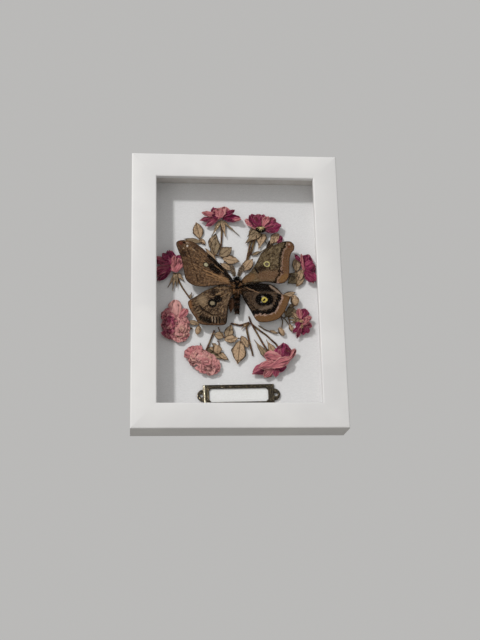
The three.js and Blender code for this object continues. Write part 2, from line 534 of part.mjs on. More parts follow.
// Leaf sprays and buds. A leaf is a blade; a bud is a lump with a few sepals round it.
const sprays = {
  leaves_top_left: {
    leaves: [[-36, 61, -40, 79.5, 11.5, 1.6, 2], [-30.5, 54.5, -37.4, 61.6, 5, 1.4, 1.6],
      [-34.6, 56.6, -53.5, 59.5, 5.4, 1.6, 3]],
    stalks: [[[-31, 54], [-35.5, 57.5], [-36.4, 63]]],
  },
  leaves_top_middle: {
    leaves: [[-21.5, 41, -19, 64.5, 10.5, 2.2, 0.9], [-15.8, 41, -2.5, 51, 11.5, 2.8, 3.4],
      [-12.5, 38, 5.5, 34.5, 10.5, 3.2, 3.6],
      [-4, 26, -16.5, 34, 7, 2.6, 2.6], [-23.5, 49, -25.6, 58.5, 5, 1.4, 1.4]],
    stalks: [[[-23.4, 50.5], [-21.4, 42.4], [-14.6, 40.6], [-10.4, 37.6], [-12, 31]]],
    height: 2,
  },
  leaf_by_antennae: { leaves: [[8.5, 25.5, 19, 39, 10.5, 2.8, 3.2]], stalks: [[[8.8, 26],
      [9.2, 23]]], height: 2.4 },
  leaves_left: {
    leaves: [[-37.8, -32.4, -51, -29.5, 5.5, 1.5, 1.8]],
    stalks: [[[-43, -31], [-38.8, -32], [-39, -39.2]]],
    buds: [[-39, -39.2, 3, 3, 4.8, 2.6, 17]],
  },
  leaves_bottom: {
    leaves: [[-13, -46, -24, -43, 9, 2.8, 2.6], [-9.6, -48.4, -5.5, -32.4, 9.5, 2.8, 3.2],
      [-12.5, -49.5, 2, -47.5, 9, 3.4, 3.8],
      [3.5, -50.5, 0, -76, 15, 2.6, 2.8], [4.5, -45.5, 12, -58.5, 8, 2.6, 2.4]],
    stalks: [[[-18.5, -36], [-16.4, -42], [-12, -48], [-2, -47.4], [4.6, -48.6], [3, -53]]],
    height: 2.6,
  },
  bud_bottom: {
    leaves: [[-20, -61.5, -8.5, -71, 6, 1.8, 2.2], [-20, -57, -25.5, -52.5, 4, 2.4, 2.6]],
    stalks: [[[-19, -58], [-17.6, -52.5], [-19.6, -50]]],
    buds: [[-20, -59.4, 2.9, 4.6, 4.6, 2.5, 0]],
  },
  leaves_right: {
    leaves: [[62.5, 24.5, 66, 42, 7, 3, 3.2], [63.5, 15, 71, 26, 7.5, 2.9, 2.9],
      [64.2, 9.6, 55, 17, 6.5, 3, 2.6],
      [63.5, 9, 71.5, 16.5, 4, 2.8, 2.6]],
    stalks: [[[63, 26], [62.6, 20], [63.4, 14], [64, 8.8]]],
    height: 2.9,
  },
  bud_right: {
    leaves: [[50, -1.8, 62.5, 3.2, 4.5, 1.6, 1.8], [60.6, -10.4, 54, -14.6, 4, 2.4, 2]],
    stalks: [[[60, -4], [57, 1.6]]],
    buds: [[60.5, -7.3, 4, 4.4, 6, 3.5, -8]],
  },
  buds_low_right: {
    leaves: [[34, -39, 42.5, -42.4, 3, 1.6, 1.8], [55, -24.6, 49.5, -17, 5, 1.2, 1.2]],
    stalks: [[[22.5, -33.6], [28, -37.4], [36, -40.8], [45.6, -40.4]], [[44.5, -21], [47.6, -29],
      [45.6, -40.4]],
      [[45, -22.6], [51, -27.6], [55.8, -36.4]], [[51, -19], [53.8, -24], [55.8, -36.4]]],
    buds: [[45.6, -40.4, 3, 2.8, 5, 2.6, -30], [55.8, -36.4, 2.9, 2.4, 3.8, 2.4, -18]],
  },
  bud_top_right: {
    leaves: [[46, 66.5, 39.5, 56, 8, 2.2, 1.6]],
    petals: [[44.6, 57, 49.6, 64.6, 7, 1.8, 2.2]],
    stalks: [[[42.5, 58.5], [34.5, 51.5], [23.5, 44]]],
  },
};
for (const [name, spray] of Object.entries(sprays)) {
  const pieces = [
    ...spray.leaves.map((leaf) => blade(leaf, leafOutline, LEAF)),
    ...(spray.petals ?? []).map((petal) => blade(petal, petalOutline, PETAL)),
    ...spray.stalks.map((points) => stem(points, BUD_STALK, spray.height)),
    ...(spray.buds ?? []).map((bud) => lump(bud)),
  ];
  add(name, fused(pieces), 'leaf');
}

export default part;
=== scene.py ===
# %% [markdown]
# # A silk moth among pressed roses, in a white box frame
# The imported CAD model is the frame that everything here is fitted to. A scene could be modelled anew
# beside it, but the two would drift apart. So each cell dresses one piece of the model: the rails get
# soft painted edges, and the flat petals, leaves and wings get their real curl and markings.

# %% Load the frame
import math
import random

import bpy
from mathutils import Matrix, Vector, noise


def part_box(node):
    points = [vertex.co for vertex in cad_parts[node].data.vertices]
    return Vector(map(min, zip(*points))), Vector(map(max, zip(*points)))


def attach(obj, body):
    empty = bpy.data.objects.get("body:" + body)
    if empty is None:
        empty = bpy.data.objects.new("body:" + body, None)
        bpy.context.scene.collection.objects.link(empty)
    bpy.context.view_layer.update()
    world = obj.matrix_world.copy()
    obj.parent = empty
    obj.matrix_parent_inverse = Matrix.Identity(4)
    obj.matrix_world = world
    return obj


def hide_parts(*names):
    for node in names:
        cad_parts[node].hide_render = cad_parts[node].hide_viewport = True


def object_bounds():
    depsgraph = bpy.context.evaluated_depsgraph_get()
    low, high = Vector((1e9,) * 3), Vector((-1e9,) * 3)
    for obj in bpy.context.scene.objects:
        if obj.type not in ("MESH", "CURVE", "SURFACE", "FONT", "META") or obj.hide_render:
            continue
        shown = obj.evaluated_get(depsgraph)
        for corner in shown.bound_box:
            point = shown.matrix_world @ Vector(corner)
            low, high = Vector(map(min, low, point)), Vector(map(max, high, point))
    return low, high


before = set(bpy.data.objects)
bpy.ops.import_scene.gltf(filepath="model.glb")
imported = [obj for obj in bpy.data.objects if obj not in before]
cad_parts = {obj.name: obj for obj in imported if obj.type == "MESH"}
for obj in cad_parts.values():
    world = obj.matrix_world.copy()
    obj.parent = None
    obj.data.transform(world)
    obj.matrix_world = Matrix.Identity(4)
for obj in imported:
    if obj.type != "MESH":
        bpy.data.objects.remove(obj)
cad_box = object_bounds()
print("CAD nodes:", len(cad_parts))

# %% [markdown]
# A display like this is laid out flat, so its places are easiest to read in millimetres from its own
# middle, as on a drawing. They could be typed in Blender's metres, with the depth of the board worked
# into each. Instead one function turns a place (x to the right, z up, height h above the board) into the
# frame's metres, and the board's face and the frame's middle are measured on the CAD model.

# %% Places on the board
MM = 0.001
BOARD_FACE = round(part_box("backing_board")[0].y / MM, 2)
MIDDLE_Z = round((cad_box[0].z + cad_box[1].z) / 2 / MM, 2)


def above(x, z, h):
    return Vector((x * MM, (BOARD_FACE - h) * MM, (z + MIDDLE_Z) * MM))


print("board face at", BOARD_FACE, "mm, middle of the frame at", MIDDLE_Z, "mm")

# %% [markdown]
# Every finish starts from the Principled shader with the values of the real material. Its nodes could be
# placed and joined by hand in the editor. One small function that adds any node with its settings keeps a
# finish as short as its recipe. Colours are written as sRGB hex, as on a colour card, and turned to
# linear values.

# %% Colours and nodes
def colour(hexcode):
    parts = [int(hexcode[i:i + 2], 16) / 255 for i in (1, 3, 5)]
    linear = [part / 12.92 if part <= 0.04045 else ((part + 0.055) / 1.055) ** 2.4 for part in parts]
    return (*linear, 1.0)


def live(node):
    """The first output that the node's settings leave open."""
    return next(out for out in node.outputs if out.enabled)


def add_node(tree, kind, inputs=None, **settings):
    """Adds one node. An input is a value, an output, or a node whose live output is joined to it."""
    node = tree.nodes.new("ShaderNode" + kind)
    for key, value in settings.items():
        setattr(node, key, value)
    for key, value in (inputs or {}).items():
        if isinstance(value, bpy.types.Node):
            value = live(value)
        if isinstance(value, bpy.types.NodeSocket):
            tree.links.new(value, node.inputs[key])
        else:
            node.inputs[key].default_value = value
    return node


def finish(name, hexcode, roughness, **values):
    material = bpy.data.materials.new(name)
    material.use_nodes = True
    shader = material.node_tree.nodes["Principled BSDF"]
    shader.inputs["Base Color"].default_value = colour(hexcode)
    shader.inputs["Roughness"].default_value = roughness
    for socket, value in values.items():
        shader.inputs[socket.replace("_", " ")].default_value = value
    return material, material.node_tree, shader


print("mid grey in linear values:", round(colour("#808080")[0], 3))

# %% [markdown]
# Nothing real has one flat colour. A picture could carry its clouds and streaks, but noise worked out
# from places on the piece needs no file, and its lumps can be given a size in millimetres. A colour is
# laid over another where such a pattern is high, and a finer one sets the height of a bump.

# %% Patterns
SOFTLY = {"interpolation_type": "SMOOTHSTEP"}


def grain(tree, size, detail=3.0, stretch=(1, 1, 1)):
    """Cloudy noise with lumps about size millimetres across, drawn out along an axis by stretch."""
    place = add_node(tree, "TexCoord")
    scale = [1 / (size * MM * share) for share in stretch]
    mapped = add_node(tree, "Mapping", {"Vector": place.outputs["Object"], "Scale": scale})
    return add_node(tree, "TexNoise", {"Vector": mapped, "Scale": 1.0, "Detail": detail})


def laid(tree, under, top, pattern, span=None, cover=(0.0, 1.0)):
    """Lays a colour over another by a pattern. Over a span of the pattern, its cover changes softly."""
    if span:
        limits = dict(zip((1, 2, 3, 4), (*span, *cover)))
        pattern = add_node(tree, "MapRange", {0: pattern, **limits}, **SOFTLY)
    under, top = (layer if isinstance(layer, bpy.types.Node) else colour(layer) for layer in (under, top))
    return add_node(tree, "Mix", {0: pattern, 6: under, 7: top}, data_type="RGBA")


def surface(tree, shader, hue, height, strength, depth):
    """Joins a colour and a bump, whose depth is in millimetres, to the shader."""
    tree.links.new(live(hue), shader.inputs["Base Color"])
    bump = add_node(tree, "Bump", {"Height": height, "Strength": strength, "Distance": depth * MM})
    tree.links.new(bump.outputs["Normal"], shader.inputs["Normal"])


def two_tone(name, tones, roughness, patch, span, bump, cover=(0.0, 1.0), **values):
    """Two tones in patches. Patch: size in mm, detail, stretch. Bump: size, detail, strength, depth."""
    material, tree, shader = finish(name, tones[0], roughness, **values)
    hue = laid(tree, *tones, grain(tree, *patch), span, cover)
    size, detail, strength, depth = bump
    surface(tree, shader, hue, grain(tree, size, detail), strength, depth)
    return material


print("patterns are sized in units of", MM, "m")

# %% [markdown]
# The case is wood under rolled satin paint, a white board, painted liner strips, bare fibreboard behind,
# and zinc-plated steel fittings. One white and one brown could do for all, but they would then look like
# one plastic. So each gets two close tones of its own, with the lumps and the shine that its making
# leaves.

# %% Finishes of the case
def satin_paint():
    """Rolled satin paint: a soft sheen, whites that cloud over 60 mm, and the roller's stipple of 1.1 mm."""
    return two_tone("satin_white_paint_on_wood", ("#E9E9EA", "#F1F1F1"), 0.42, (60,), (0.35, 0.7),
                    (1.1, 3, 0.12, 0.15), Specular_IOR_Level=0.4)


def mounting_board():
    """Pressed paper board: quite matt, with a faint level fleck. Its fibres, 0.02 mm thick, are too fine to
    show, so they are drawn as flecks of 0.6 mm."""
    return two_tone("matt_white_mounting_board", ("#E4E5E7", "#EBECEE"), 0.9, (0.6, 4, (3, 1, 1)), (0.3, 0.7),
                    (0.4, 3, 0.15, 0.1), Specular_IOR_Level=0.2)


def painted_liner():
    """Thin strips in one coat of paint: a greyer and warmer white than the rails, with a stipple of 1 mm."""
    return two_tone("painted_liner_strip", ("#D0CCC8", "#DAD8D5"), 0.6, (12,), (0.35, 0.7),
                    (1, 3, 0.15, 0.12))


def bare_fibreboard():
    """Pressed wood fibre: a dull brown with short light fibres along the sheet. They are 0.2 mm thick, and
    are drawn 1.4 mm wide so that they show."""
    return two_tone("bare_fibreboard", ("#7F5F41", "#8F6D4B"), 0.85, (1.4, 6, (4, 1, 1)), (0.3, 0.72),
                    (0.7, 5, 0.4, 0.2), Specular_IOR_Level=0.25)


def zinc_plate():
    """Zinc on rolled steel: a cool, half dull shine, streaked along the rolling. The streaks are 0.05 mm
    wide, and are drawn 0.8 mm wide so that they show."""
    return two_tone("zinc_plated_steel", ("#9EA2A6", "#C4C7C9"), 0.36, (0.8, 4, (1, 1, 9)), (0.3, 0.7),
                    (0.5, 3, 0.2, 0.05), Metallic=1.0)


def window_glass():
    """Float glass with a clear coating: polished and without colour. Plain glass starts at an IOR of 1.5, and
    the coating leaves hardly any sheen over the board, which 1.1 matches."""
    return finish("coated_picture_glass", "#FFFFFF", 0.0, Transmission_Weight=1.0, IOR=1.1)[0]


def dress(piece, material):
    """Gives a piece one finish, in place of any it has."""
    piece.data.materials.clear()
    piece.data.materials.append(material)


paint = satin_paint()
steel = zinc_plate()
liner_paint = painted_liner()
case_finish = {"backing_board": mounting_board(), "rear_panel": bare_fibreboard(), "sawtooth_hanger": steel}
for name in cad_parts:
    if name.startswith("liner_"):
        case_finish[name] = liner_paint
    if name.startswith("back_tab_"):
        case_finish[name] = steel
for name, material in case_finish.items():
    dress(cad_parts[name], material)
print("case finishes on", len(case_finish), "nodes")

# %% [markdown]
# Blender's operators do in a script what a maker does with the mouse, and they act on all that is
# selected. A script could bypass them and write every point itself. It is easier to read when each piece
# is selected alone and then worked on, so these helpers select it, open it for editing, and name it when
# it is done.

# %% Handling pieces
SAME_PLACE = 1e-6
SHARP = math.radians(35)


def deselect():
    bpy.ops.object.select_all(action="DESELECT")


def chosen(piece):
    deselect()
    piece.select_set(True)
    bpy.context.view_layer.objects.active = piece


def edit(kind):
    """Opens the active piece in edit mode, picking vertices, edges or faces."""
    bpy.context.tool_settings.mesh_select_mode = (kind == "VERT", kind == "EDGE", kind == "FACE")
    bpy.ops.object.mode_set(mode="EDIT")


def placed(name, data):
    """Puts mesh or curve data into the scene as a piece."""
    piece = bpy.data.objects.new(name, data)
    bpy.context.collection.objects.link(piece)
    return piece


def merged_copy(node):
    """A copy of a CAD node in which the loose triangles share their corners."""
    piece = placed(node + "_copy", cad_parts[node].data.copy())
    chosen(piece)
    edit("VERT")
    bpy.ops.mesh.select_all(action="SELECT")
    bpy.ops.mesh.remove_doubles(threshold=SAME_PLACE)
    bpy.ops.object.mode_set(mode="OBJECT")
    print(node, "is merged to", len(piece.data.vertices), "points")
    return piece


def carry(mesh, **numbers):
    """Gives every point of a mesh a number under a name, which a finish can read."""
    for key, values in numbers.items():
        mesh.attributes.new(key, "FLOAT", "POINT").data.foreach_set("value", values)


def made(piece, name, slot, *nodes):
    """Names a finished piece, lets it ride with the frame and stand for its CAD nodes."""
    piece.name = name
    piece.data.name = name
    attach(piece, "root")
    if nodes:
        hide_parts(*nodes)
    triangles = sum(len(face.vertices) - 2 for face in piece.data.polygons)
    print(f"{name}: {triangles} triangles")
    return piece


# %% [markdown]
# A rail is one length of moulding with mitred ends. It could be modelled again from a box, but its CAD
# node already has the right section. So a copy of the node is merged, its long edges are bevelled round
# as sanding and paint leave them, and its ends are drawn together until the mitre is the hairline that
# paint bridges.

# %% Rails
ROUND = 0.9 * MM
HAIRLINE = 0.14 * MM
RAIL_AXIS = {"rail_top": 0, "rail_bottom": 0, "rail_left": 2, "rail_right": 2}


def flat_faced(piece):
    """Makes each flat side of a merged copy one face."""
    edit("EDGE")
    bpy.ops.mesh.select_all(action="SELECT")
    bpy.ops.mesh.dissolve_limited(angle_limit=math.radians(1))
    bpy.ops.mesh.select_all(action="DESELECT")
    bpy.ops.object.mode_set(mode="OBJECT")
    print(piece.name, "has", len(piece.data.polygons), "flat faces")


def rail(name, axis):
    piece = merged_copy(name)
    flat_faced(piece)
    middle = sum((Vector(corner) for corner in piece.bound_box), Vector()) / 8
    points = piece.data.vertices
    for vertex in points:
        vertex.co[axis] += math.copysign(HAIRLINE, vertex.co[axis] - middle[axis])
    for edge in piece.data.edges:
        run = points[edge.vertices[0]].co - points[edge.vertices[1]].co
        edge.select = abs(run[axis]) > 0.99 * run.length
    edit("EDGE")
    bpy.ops.mesh.bevel(offset=ROUND, segments=3, affect="EDGES", clamp_overlap=True)
    bpy.ops.object.mode_set(mode="OBJECT")
    bpy.ops.object.shade_smooth_by_angle(angle=SHARP)
    dress(piece, paint)
    return made(piece, name + "_painted", "white_paint", name)


for name, axis in RAIL_AXIS.items():
    rail(name, axis)

# %% [markdown]
# The pane is a sheet of glass with ground edges. The CAD node could be shown as it is, but its edges
# would be knife sharp. So it is a cube at the node's size with bevelled edges. Light reaches the board
# through it as through any thin clear pane, so it casts no shadow of its own.

# %% Glass pane
GROUND_EDGE = 0.3 * MM


def pane():
    low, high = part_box("glass_pane")
    deselect()
    bpy.ops.mesh.primitive_cube_add(size=1, location=(low + high) / 2)
    piece = bpy.context.object
    piece.scale = high - low
    bpy.ops.object.transform_apply(location=True, rotation=False, scale=True)
    edit("EDGE")
    bpy.ops.mesh.select_all(action="SELECT")
    bpy.ops.mesh.bevel(offset=GROUND_EDGE, segments=1, affect="EDGES")
    bpy.ops.object.mode_set(mode="OBJECT")
    dress(piece, window_glass())
    piece.visible_shadow = False
    piece.visible_diffuse = False
    return made(piece, "glass_pane_ground", "glass", "glass_pane")


pane()

# %% [markdown]
# Dried petals keep thin streaks along their length, a paler worn rim, and blotches where the colour has
# browned. A finish for each shade would work too, but one finish that reads numbers from the petals keeps
# all eight roses alike. Tone goes from dark crimson to tan, each sets a petal apart from its neighbours,
# and fold is high on a crease and on a petal's upper side, and low in a valley. From fold the finish
# paints shade into the valleys and a highlight onto the ridges and upper sides: painted light and shade.
# The streaks follow the petal's own UV map.

# %% Finish of petals
PETAL_TONES = {0.0: "#7C1F48", 0.25: "#96405A", 0.5: "#C6777E", 0.75: "#DDA7A1", 1.0: "#C2A278"}
STREAKS_ACROSS = 13


def tone_of_petal(tree, tone):
    """The petal's own colour, read from its tone."""
    hue = add_node(tree, "ValToRGB", {"Fac": tone})
    ramp = hue.color_ramp.elements
    for place in list(PETAL_TONES)[1:-1]:
        ramp.new(place)
    for element, (place, hexcode) in zip(ramp, PETAL_TONES.items()):
        element.position = place
        element.color = colour(hexcode)
    return hue


def own_places(tree):
    """A blade's own map, its distance from the midline (0 to 0.5), and its place from base (0) to tip (1)."""
    own = add_node(tree, "UVMap")
    split = add_node(tree, "SeparateXYZ", {0: own})
    off = add_node(tree, "Math", {0: split.outputs["X"], 1: 0.5}, operation="SUBTRACT")
    return own, add_node(tree, "Math", {0: off}, operation="ABSOLUTE"), split.outputs["Y"]


def worn_rim(tree, across, along):
    """High at a petal's sides and tip, in broken patches about 2 mm long."""
    side = add_node(tree, "MapRange", {0: across, 1: 0.38, 2: 0.5}, **SOFTLY)
    tip = add_node(tree, "MapRange", {0: along, 1: 0.84, 2: 1.0}, **SOFTLY)
    rim = add_node(tree, "Math", {0: side, 1: tip}, operation="MAXIMUM")
    broken = add_node(tree, "MapRange", {0: grain(tree, 2.2), 1: 0.35, 2: 0.6, 3: 0.1, 4: 0.75}, **SOFTLY)
    return add_node(tree, "Math", {0: rim, 1: broken}, operation="MULTIPLY")


def dried_petal():
    """Petals pressed and dried in air: papery and dull, with painted shade in the valleys and a painted
    highlight on the ridges and upper sides. The real streaks are cells 0.05 mm wide, and 13 across a petal is
    as fine as shows."""
    material, tree, shader = finish("dried_rose_petal", "#8A3A55", 0.72, Specular_IOR_Level=0.1)
    tone = add_node(tree, "Attribute", attribute_name="tone").outputs["Fac"]
    each = add_node(tree, "Attribute", attribute_name="each").outputs["Vector"]
    fold = add_node(tree, "Attribute", attribute_name="fold").outputs["Fac"]
    own, across, along = own_places(tree)
    lined = add_node(tree, "Mapping", {"Vector": own, "Scale": (STREAKS_ACROSS, 1.6, 1)})
    apart = add_node(tree, "VectorMath", {0: lined, 1: each}, operation="ADD")
    streak = add_node(tree, "TexNoise", {"Vector": apart, "Scale": 1.0, "Detail": 4.0})
    faded = laid(tree, "#A64D6B", "#DFA6A2", tone, (0.0, 0.5))
    hue = laid(tree, tone_of_petal(tree, tone), "#4A1830", streak, (0.52, 0.66), (0, 0.7))
    hue = laid(tree, hue, "#D39A92", streak, (0.46, 0.3), (0, 0.45))
    # Painted shade in the valleys of the folds, and a painted highlight on the ridges and upper sides.
    hue = laid(tree, hue, "#35101F", fold, (0.05, -0.45), (0, 0.8))
    hue = laid(tree, hue, faded, fold, (0.15, 0.7), (0, 0.5))
    hue = laid(tree, hue, "#6E4238", grain(tree, 5.0), (0.55, 0.75), (0, 0.45))
    hue = laid(tree, hue, faded, worn_rim(tree, across, along))
    surface(tree, shader, hue, streak, 0.5, 0.4)
    return material


petal_finish = dried_petal()
print(petal_finish.name, "has", len(petal_finish.node_tree.nodes), "nodes")

# %% [markdown]
# Pressed leaves fade to olive and tan. The midrib and its side veins stay darker and sunk, the rim is dark,
# partly where it browns first and partly as painted shade along the edge, and the blade is mottled. A tone
# below 0 darkens a leaf towards black, and the darkest is painted shade. Veins could be modelled, but a
# pressed leaf is flat, so they are drawn on the leaf's own map. Stems dry to ridged wood, part reddish
# brown and part olive, which two pairs of tones give.

# %% Finish of leaves and stems
VEIN_TURNS = 50.0
VEIN_SLANT = -0.55


def dried_leaf():
    """Leaves pressed and dried: dull and papery, mottled in patches of 2.6 mm, with about eight pairs of
    slanting side veins, as a rose leaf has."""
    material, tree, shader = finish("pressed_dry_leaf", "#8E7B56", 0.78, Specular_IOR_Level=0.12)
    tone = add_node(tree, "Attribute", attribute_name="tone").outputs["Fac"]
    across, along = own_places(tree)[1:]
    slant = add_node(tree, "Math", {0: across, 1: VEIN_SLANT, 2: along}, operation="MULTIPLY_ADD")
    turns = add_node(tree, "Math", {0: slant, 1: VEIN_TURNS}, operation="MULTIPLY")
    wave = add_node(tree, "Math", {0: turns}, operation="SINE")
    side_veins = add_node(tree, "MapRange", {0: wave, 1: 0.75, 2: 1.0, 3: 0, 4: 0.45}, **SOFTLY)
    midrib = add_node(tree, "MapRange", {0: across, 1: 0.05, 2: 0.02, 3: 0, 4: 0.8}, **SOFTLY)
    veins = add_node(tree, "Math", {0: side_veins, 1: midrib}, operation="MAXIMUM")
    hue = laid(tree, "#85775F", "#C4A687", tone)
    # A tone below 0 darkens a leaf towards near black. At -1, by the bud at the top right, this is painted
    # shade beside the right forewing.
    hue = laid(tree, hue, "#20150F", tone, (-0.1, -1.0))
    hue = laid(tree, hue, "#5A4836", grain(tree, 2.6, 5.0), (0.5, 0.66), (0, 0.75))
    hue = laid(tree, hue, "#4A3A28", veins)
    # The dark rim is partly browning and partly painted shade along the leaf's edge.
    hue = laid(tree, hue, "#3C2C1F", across, (0.34, 0.46), (0, 0.95))
    surface(tree, shader, hue, veins, -0.5, 0.4)
    return material


def dried_stem():
    """Dried green wood: matt, ridged along its length, and patched in brown and olive over 6 mm. The
    ridges are 0.2 mm wide, and are drawn 0.8 mm wide so that they show."""
    material, tree, shader = finish("dried_woody_stem", "#6B4A35", 0.75, Specular_IOR_Level=0.12)
    ridged = grain(tree, 0.8, 4.0, (1, 1, 5))
    fibre = add_node(tree, "MapRange", {0: ridged, 1: 0.35, 2: 0.65}, **SOFTLY)
    brown = laid(tree, "#33211A", "#6E4C38", fibre)
    olive = laid(tree, "#43331F", "#86704E", fibre)
    hue = laid(tree, brown, olive, grain(tree, 6.0), (0.45, 0.6))
    surface(tree, shader, hue, fibre, 0.5, 0.3)
    return material


leaf_finish = dried_leaf()
stem_finish = dried_stem()
print(leaf_finish.name, "and", stem_finish.name, "are ready")

# %% [markdown]
# A petal, a leaf and a sepal differ in their outline and in how they fold as they dry. Each could be
# drawn point by point, but there are over two hundred. So an outline is a formula for the half width from
# base to tip, and the folds are noise: sharp valleys between rounded ridges in a petal, and gentler
# ripples in a leaf.

# %% Outlines and folds
PETAL_WIDEST = 0.6


def petal_edge(along):
    """Half width of a petal as a share of its width. Along is 0 at the base and 1 at the tip."""
    if along < PETAL_WIDEST:
        return 0.18 + 0.34 * math.sin(math.pi / 2 * along / PETAL_WIDEST)
    return 0.52 * math.sqrt(max(0.12, 1 - ((along - PETAL_WIDEST) / 0.42) ** 2))


def leaf_edge(along):
    return 0.5 * math.sin(math.pi * min(1.0, along + 0.01) ** 0.9) ** 0.8


def sepal_edge(along):
    return 0.5 * (1 - along) ** 0.7 * (0.68 + 0.5 * math.sin(math.pi * min(1, along * 1.4)))


def crease(across, along, seed):
    """Sharp valleys between rounded ridges, as a crumpled sheet has."""
    return abs(noise.noise(Vector((across, along, seed)))) * 3 - 0.6


def petal_folds(across, along, seed, ruffle=1.0):
    """Heights in millimetres: of the creases, which the finish shades, and of the sheet's slow bend."""
    broad = 0.9 * noise.noise(Vector((across * 1.2, along * 1.5, seed * 9.1)))
    pleats = 0.8 * (0.25 + along) * crease(across * 2.3 * ruffle, along * 1.2 * ruffle, seed * 3.7)
    fine = 0.35 * noise.noise(Vector((across * 8.0, along * 5.0, seed * 5.3)))
    curl = 1.3 * along ** 4 * (0.3 + noise.noise(Vector((across * 2.0, 0.5, seed * 2.9))))
    return pleats + fine * 0.7, broad + curl - 0.3


def leaf_folds(across, along, seed, ruffle=1.0):
    ripple = 0.5 * abs(across) * noise.noise(Vector((across, along * 5.0 * ruffle, seed * 4.1)))
    warp = 0.4 * noise.noise(Vector((across * 0.8, along * 1.6, seed * 6.3)))
    return ripple * 2, 0.35 * abs(across) + warp - ripple


print("a petal is widest at", PETAL_WIDEST, "of its length")

# %% [markdown]
# Each blade is a thin sheet. It could be cut from a plane by hand, but dozens of folds need dozens of
# rows, so a primitive grid is the blank. A copy of it is laid where a blade lies: from base to tip, as
# wide as it is, and at its height above the board, with ragged sides and a side that turns up. Then the
# sheets get their thickness.

# %% Blades
# How far a petal's upper side turns up, and how much lighter the finish paints it: painted light from above.
TURN_UP_AND_TOP_LIGHT = 0.4
LOWEST = 0.45
PETAL_THICK = 0.28
LEAF_THICK = 0.3


def blank_sheet(across, along):
    deselect()
    bpy.ops.mesh.primitive_grid_add(x_subdivisions=across, y_subdivisions=along, size=1)
    piece = bpy.context.object
    sheet = piece.data
    bpy.data.objects.remove(piece)
    print("blank of", len(sheet.vertices), "points")
    return sheet


def blade(sheet, place, edge, folds, tone, seed, ruffle=1.0):
    """One blade. Place: base x and z, tip x and z, width, height at the base and at the tip."""
    x0, z0, x1, z1, width, start, end = place
    run = Vector((x1 - x0, z1 - z0))
    side = Vector((run.y, -run.x)).normalized()
    mesh = sheet.copy()
    creases = []
    for vertex in mesh.vertices:
        across = 2 * vertex.co.x
        along = vertex.co.y + 0.5
        ragged = 1 + 0.2 * noise.noise(Vector((along * 7, seed * 7.7, math.copysign(2, across))))
        frayed = 0.8 + noise.noise(Vector((across * 4, seed, 4.0)))
        notch = 1 - 0.1 * along * (across * across + 0.4) * frayed
        folded, bent = folds(across, along, seed, ruffle)
        turned_up = across * side.y
        # Fold also carries which way a side faces, so the finish paints the upper side lighter and the lower
        # side darker: painted light and shade.
        creases.append(folded + TURN_UP_AND_TOP_LIGHT * turned_up)
        bent -= TURN_UP_AND_TOP_LIGHT * turned_up * along
        at = Vector((x0, z0)) + run * along * notch + side * (across * edge(along) * width * ragged)
        vertex.co = above(at.x, at.y, max(LOWEST, start + (end - start) * along + folded + bent))
    carry(mesh, tone=[tone] * len(creases), each=[seed * 1.7] * len(creases), fold=creases)
    return placed("blade", mesh)


def joined(pieces, thickness=0.0):
    """Joins pieces into the first of them. A thickness makes sheets into thin solids first."""
    chosen(pieces[0])
    for piece in pieces:
        piece.select_set(True)
    if len(pieces) > 1:
        bpy.ops.object.join()
    whole = bpy.context.object
    if thickness:
        solid = whole.modifiers.new("thickness", "SOLIDIFY")
        solid.thickness = thickness * MM
        solid.offset = -1
        bpy.ops.object.modifier_apply(modifier="thickness")
    bpy.ops.object.shade_smooth()
    return whole


petal_blank = blank_sheet(16, 20)
leaf_blank = blank_sheet(8, 16)

# %% [markdown]
# A stem is a thin round stalk with small swellings where leaves sat. A cylinder could be bent to each
# course. A curve with a round bevel does it in one step: it is drawn through the stem's places, thinner
# at its far end, and then turned into a mesh.

# %% Stems
STEM_HEIGHT = 1.25
WOBBLE = 0.5


def round_curve(name, kind, radius, count, smooth):
    """A curve with a round section, radius in millimetres, and its line of count points."""
    curve = bpy.data.curves.new(name, "CURVE")
    curve.dimensions = "3D"
    curve.bevel_depth = radius * MM
    curve.bevel_resolution = smooth
    curve.resolution_u = 5
    curve.use_fill_caps = True
    line = curve.splines.new(kind)
    line.points.add(count - 1)
    return curve, line


def as_mesh(curve):
    chosen(placed(curve.name, curve))
    bpy.ops.object.convert(target="MESH")
    return bpy.context.object


def stem(places, radius=0.75, height=STEM_HEIGHT):
    curve, line = round_curve("stem", "NURBS", radius, 2 * len(places) - 1, 2)
    last = len(line.points) - 1
    for i, point in enumerate(line.points):
        before = Vector(places[i // 2])
        after = Vector(places[min(i // 2 + i % 2, len(places) - 1)])
        at = (before + after) / 2
        wobble = noise.noise(Vector((at.x, at.y, 1.0))) * WOBBLE * (0 < i < last)
        point.co = (*above(at.x + wobble, at.y + wobble, height), 1)
        point.radius = 1.05 - 0.3 * i / (last + 1) + 0.25 * noise.noise(Vector((i * 1.7, at.x, 0)))
    line.use_endpoint_u = True
    line.order_u = 3
    return as_mesh(curve)


# %% [markdown]
# A bud is wrapped petals, a calyx is a swelling under the petals, and the rings of the moth's body are
# round too. Each could be spun from an outline. A sphere drawn out to the right half sizes is quicker,
# and a swirl of shallow grooves, closing towards the top, wraps it like a bud.

# %% Buds and other round pieces
GROOVES = 4
BUD_SWIRL = 0.1
ROUND_LOWEST = 0.4


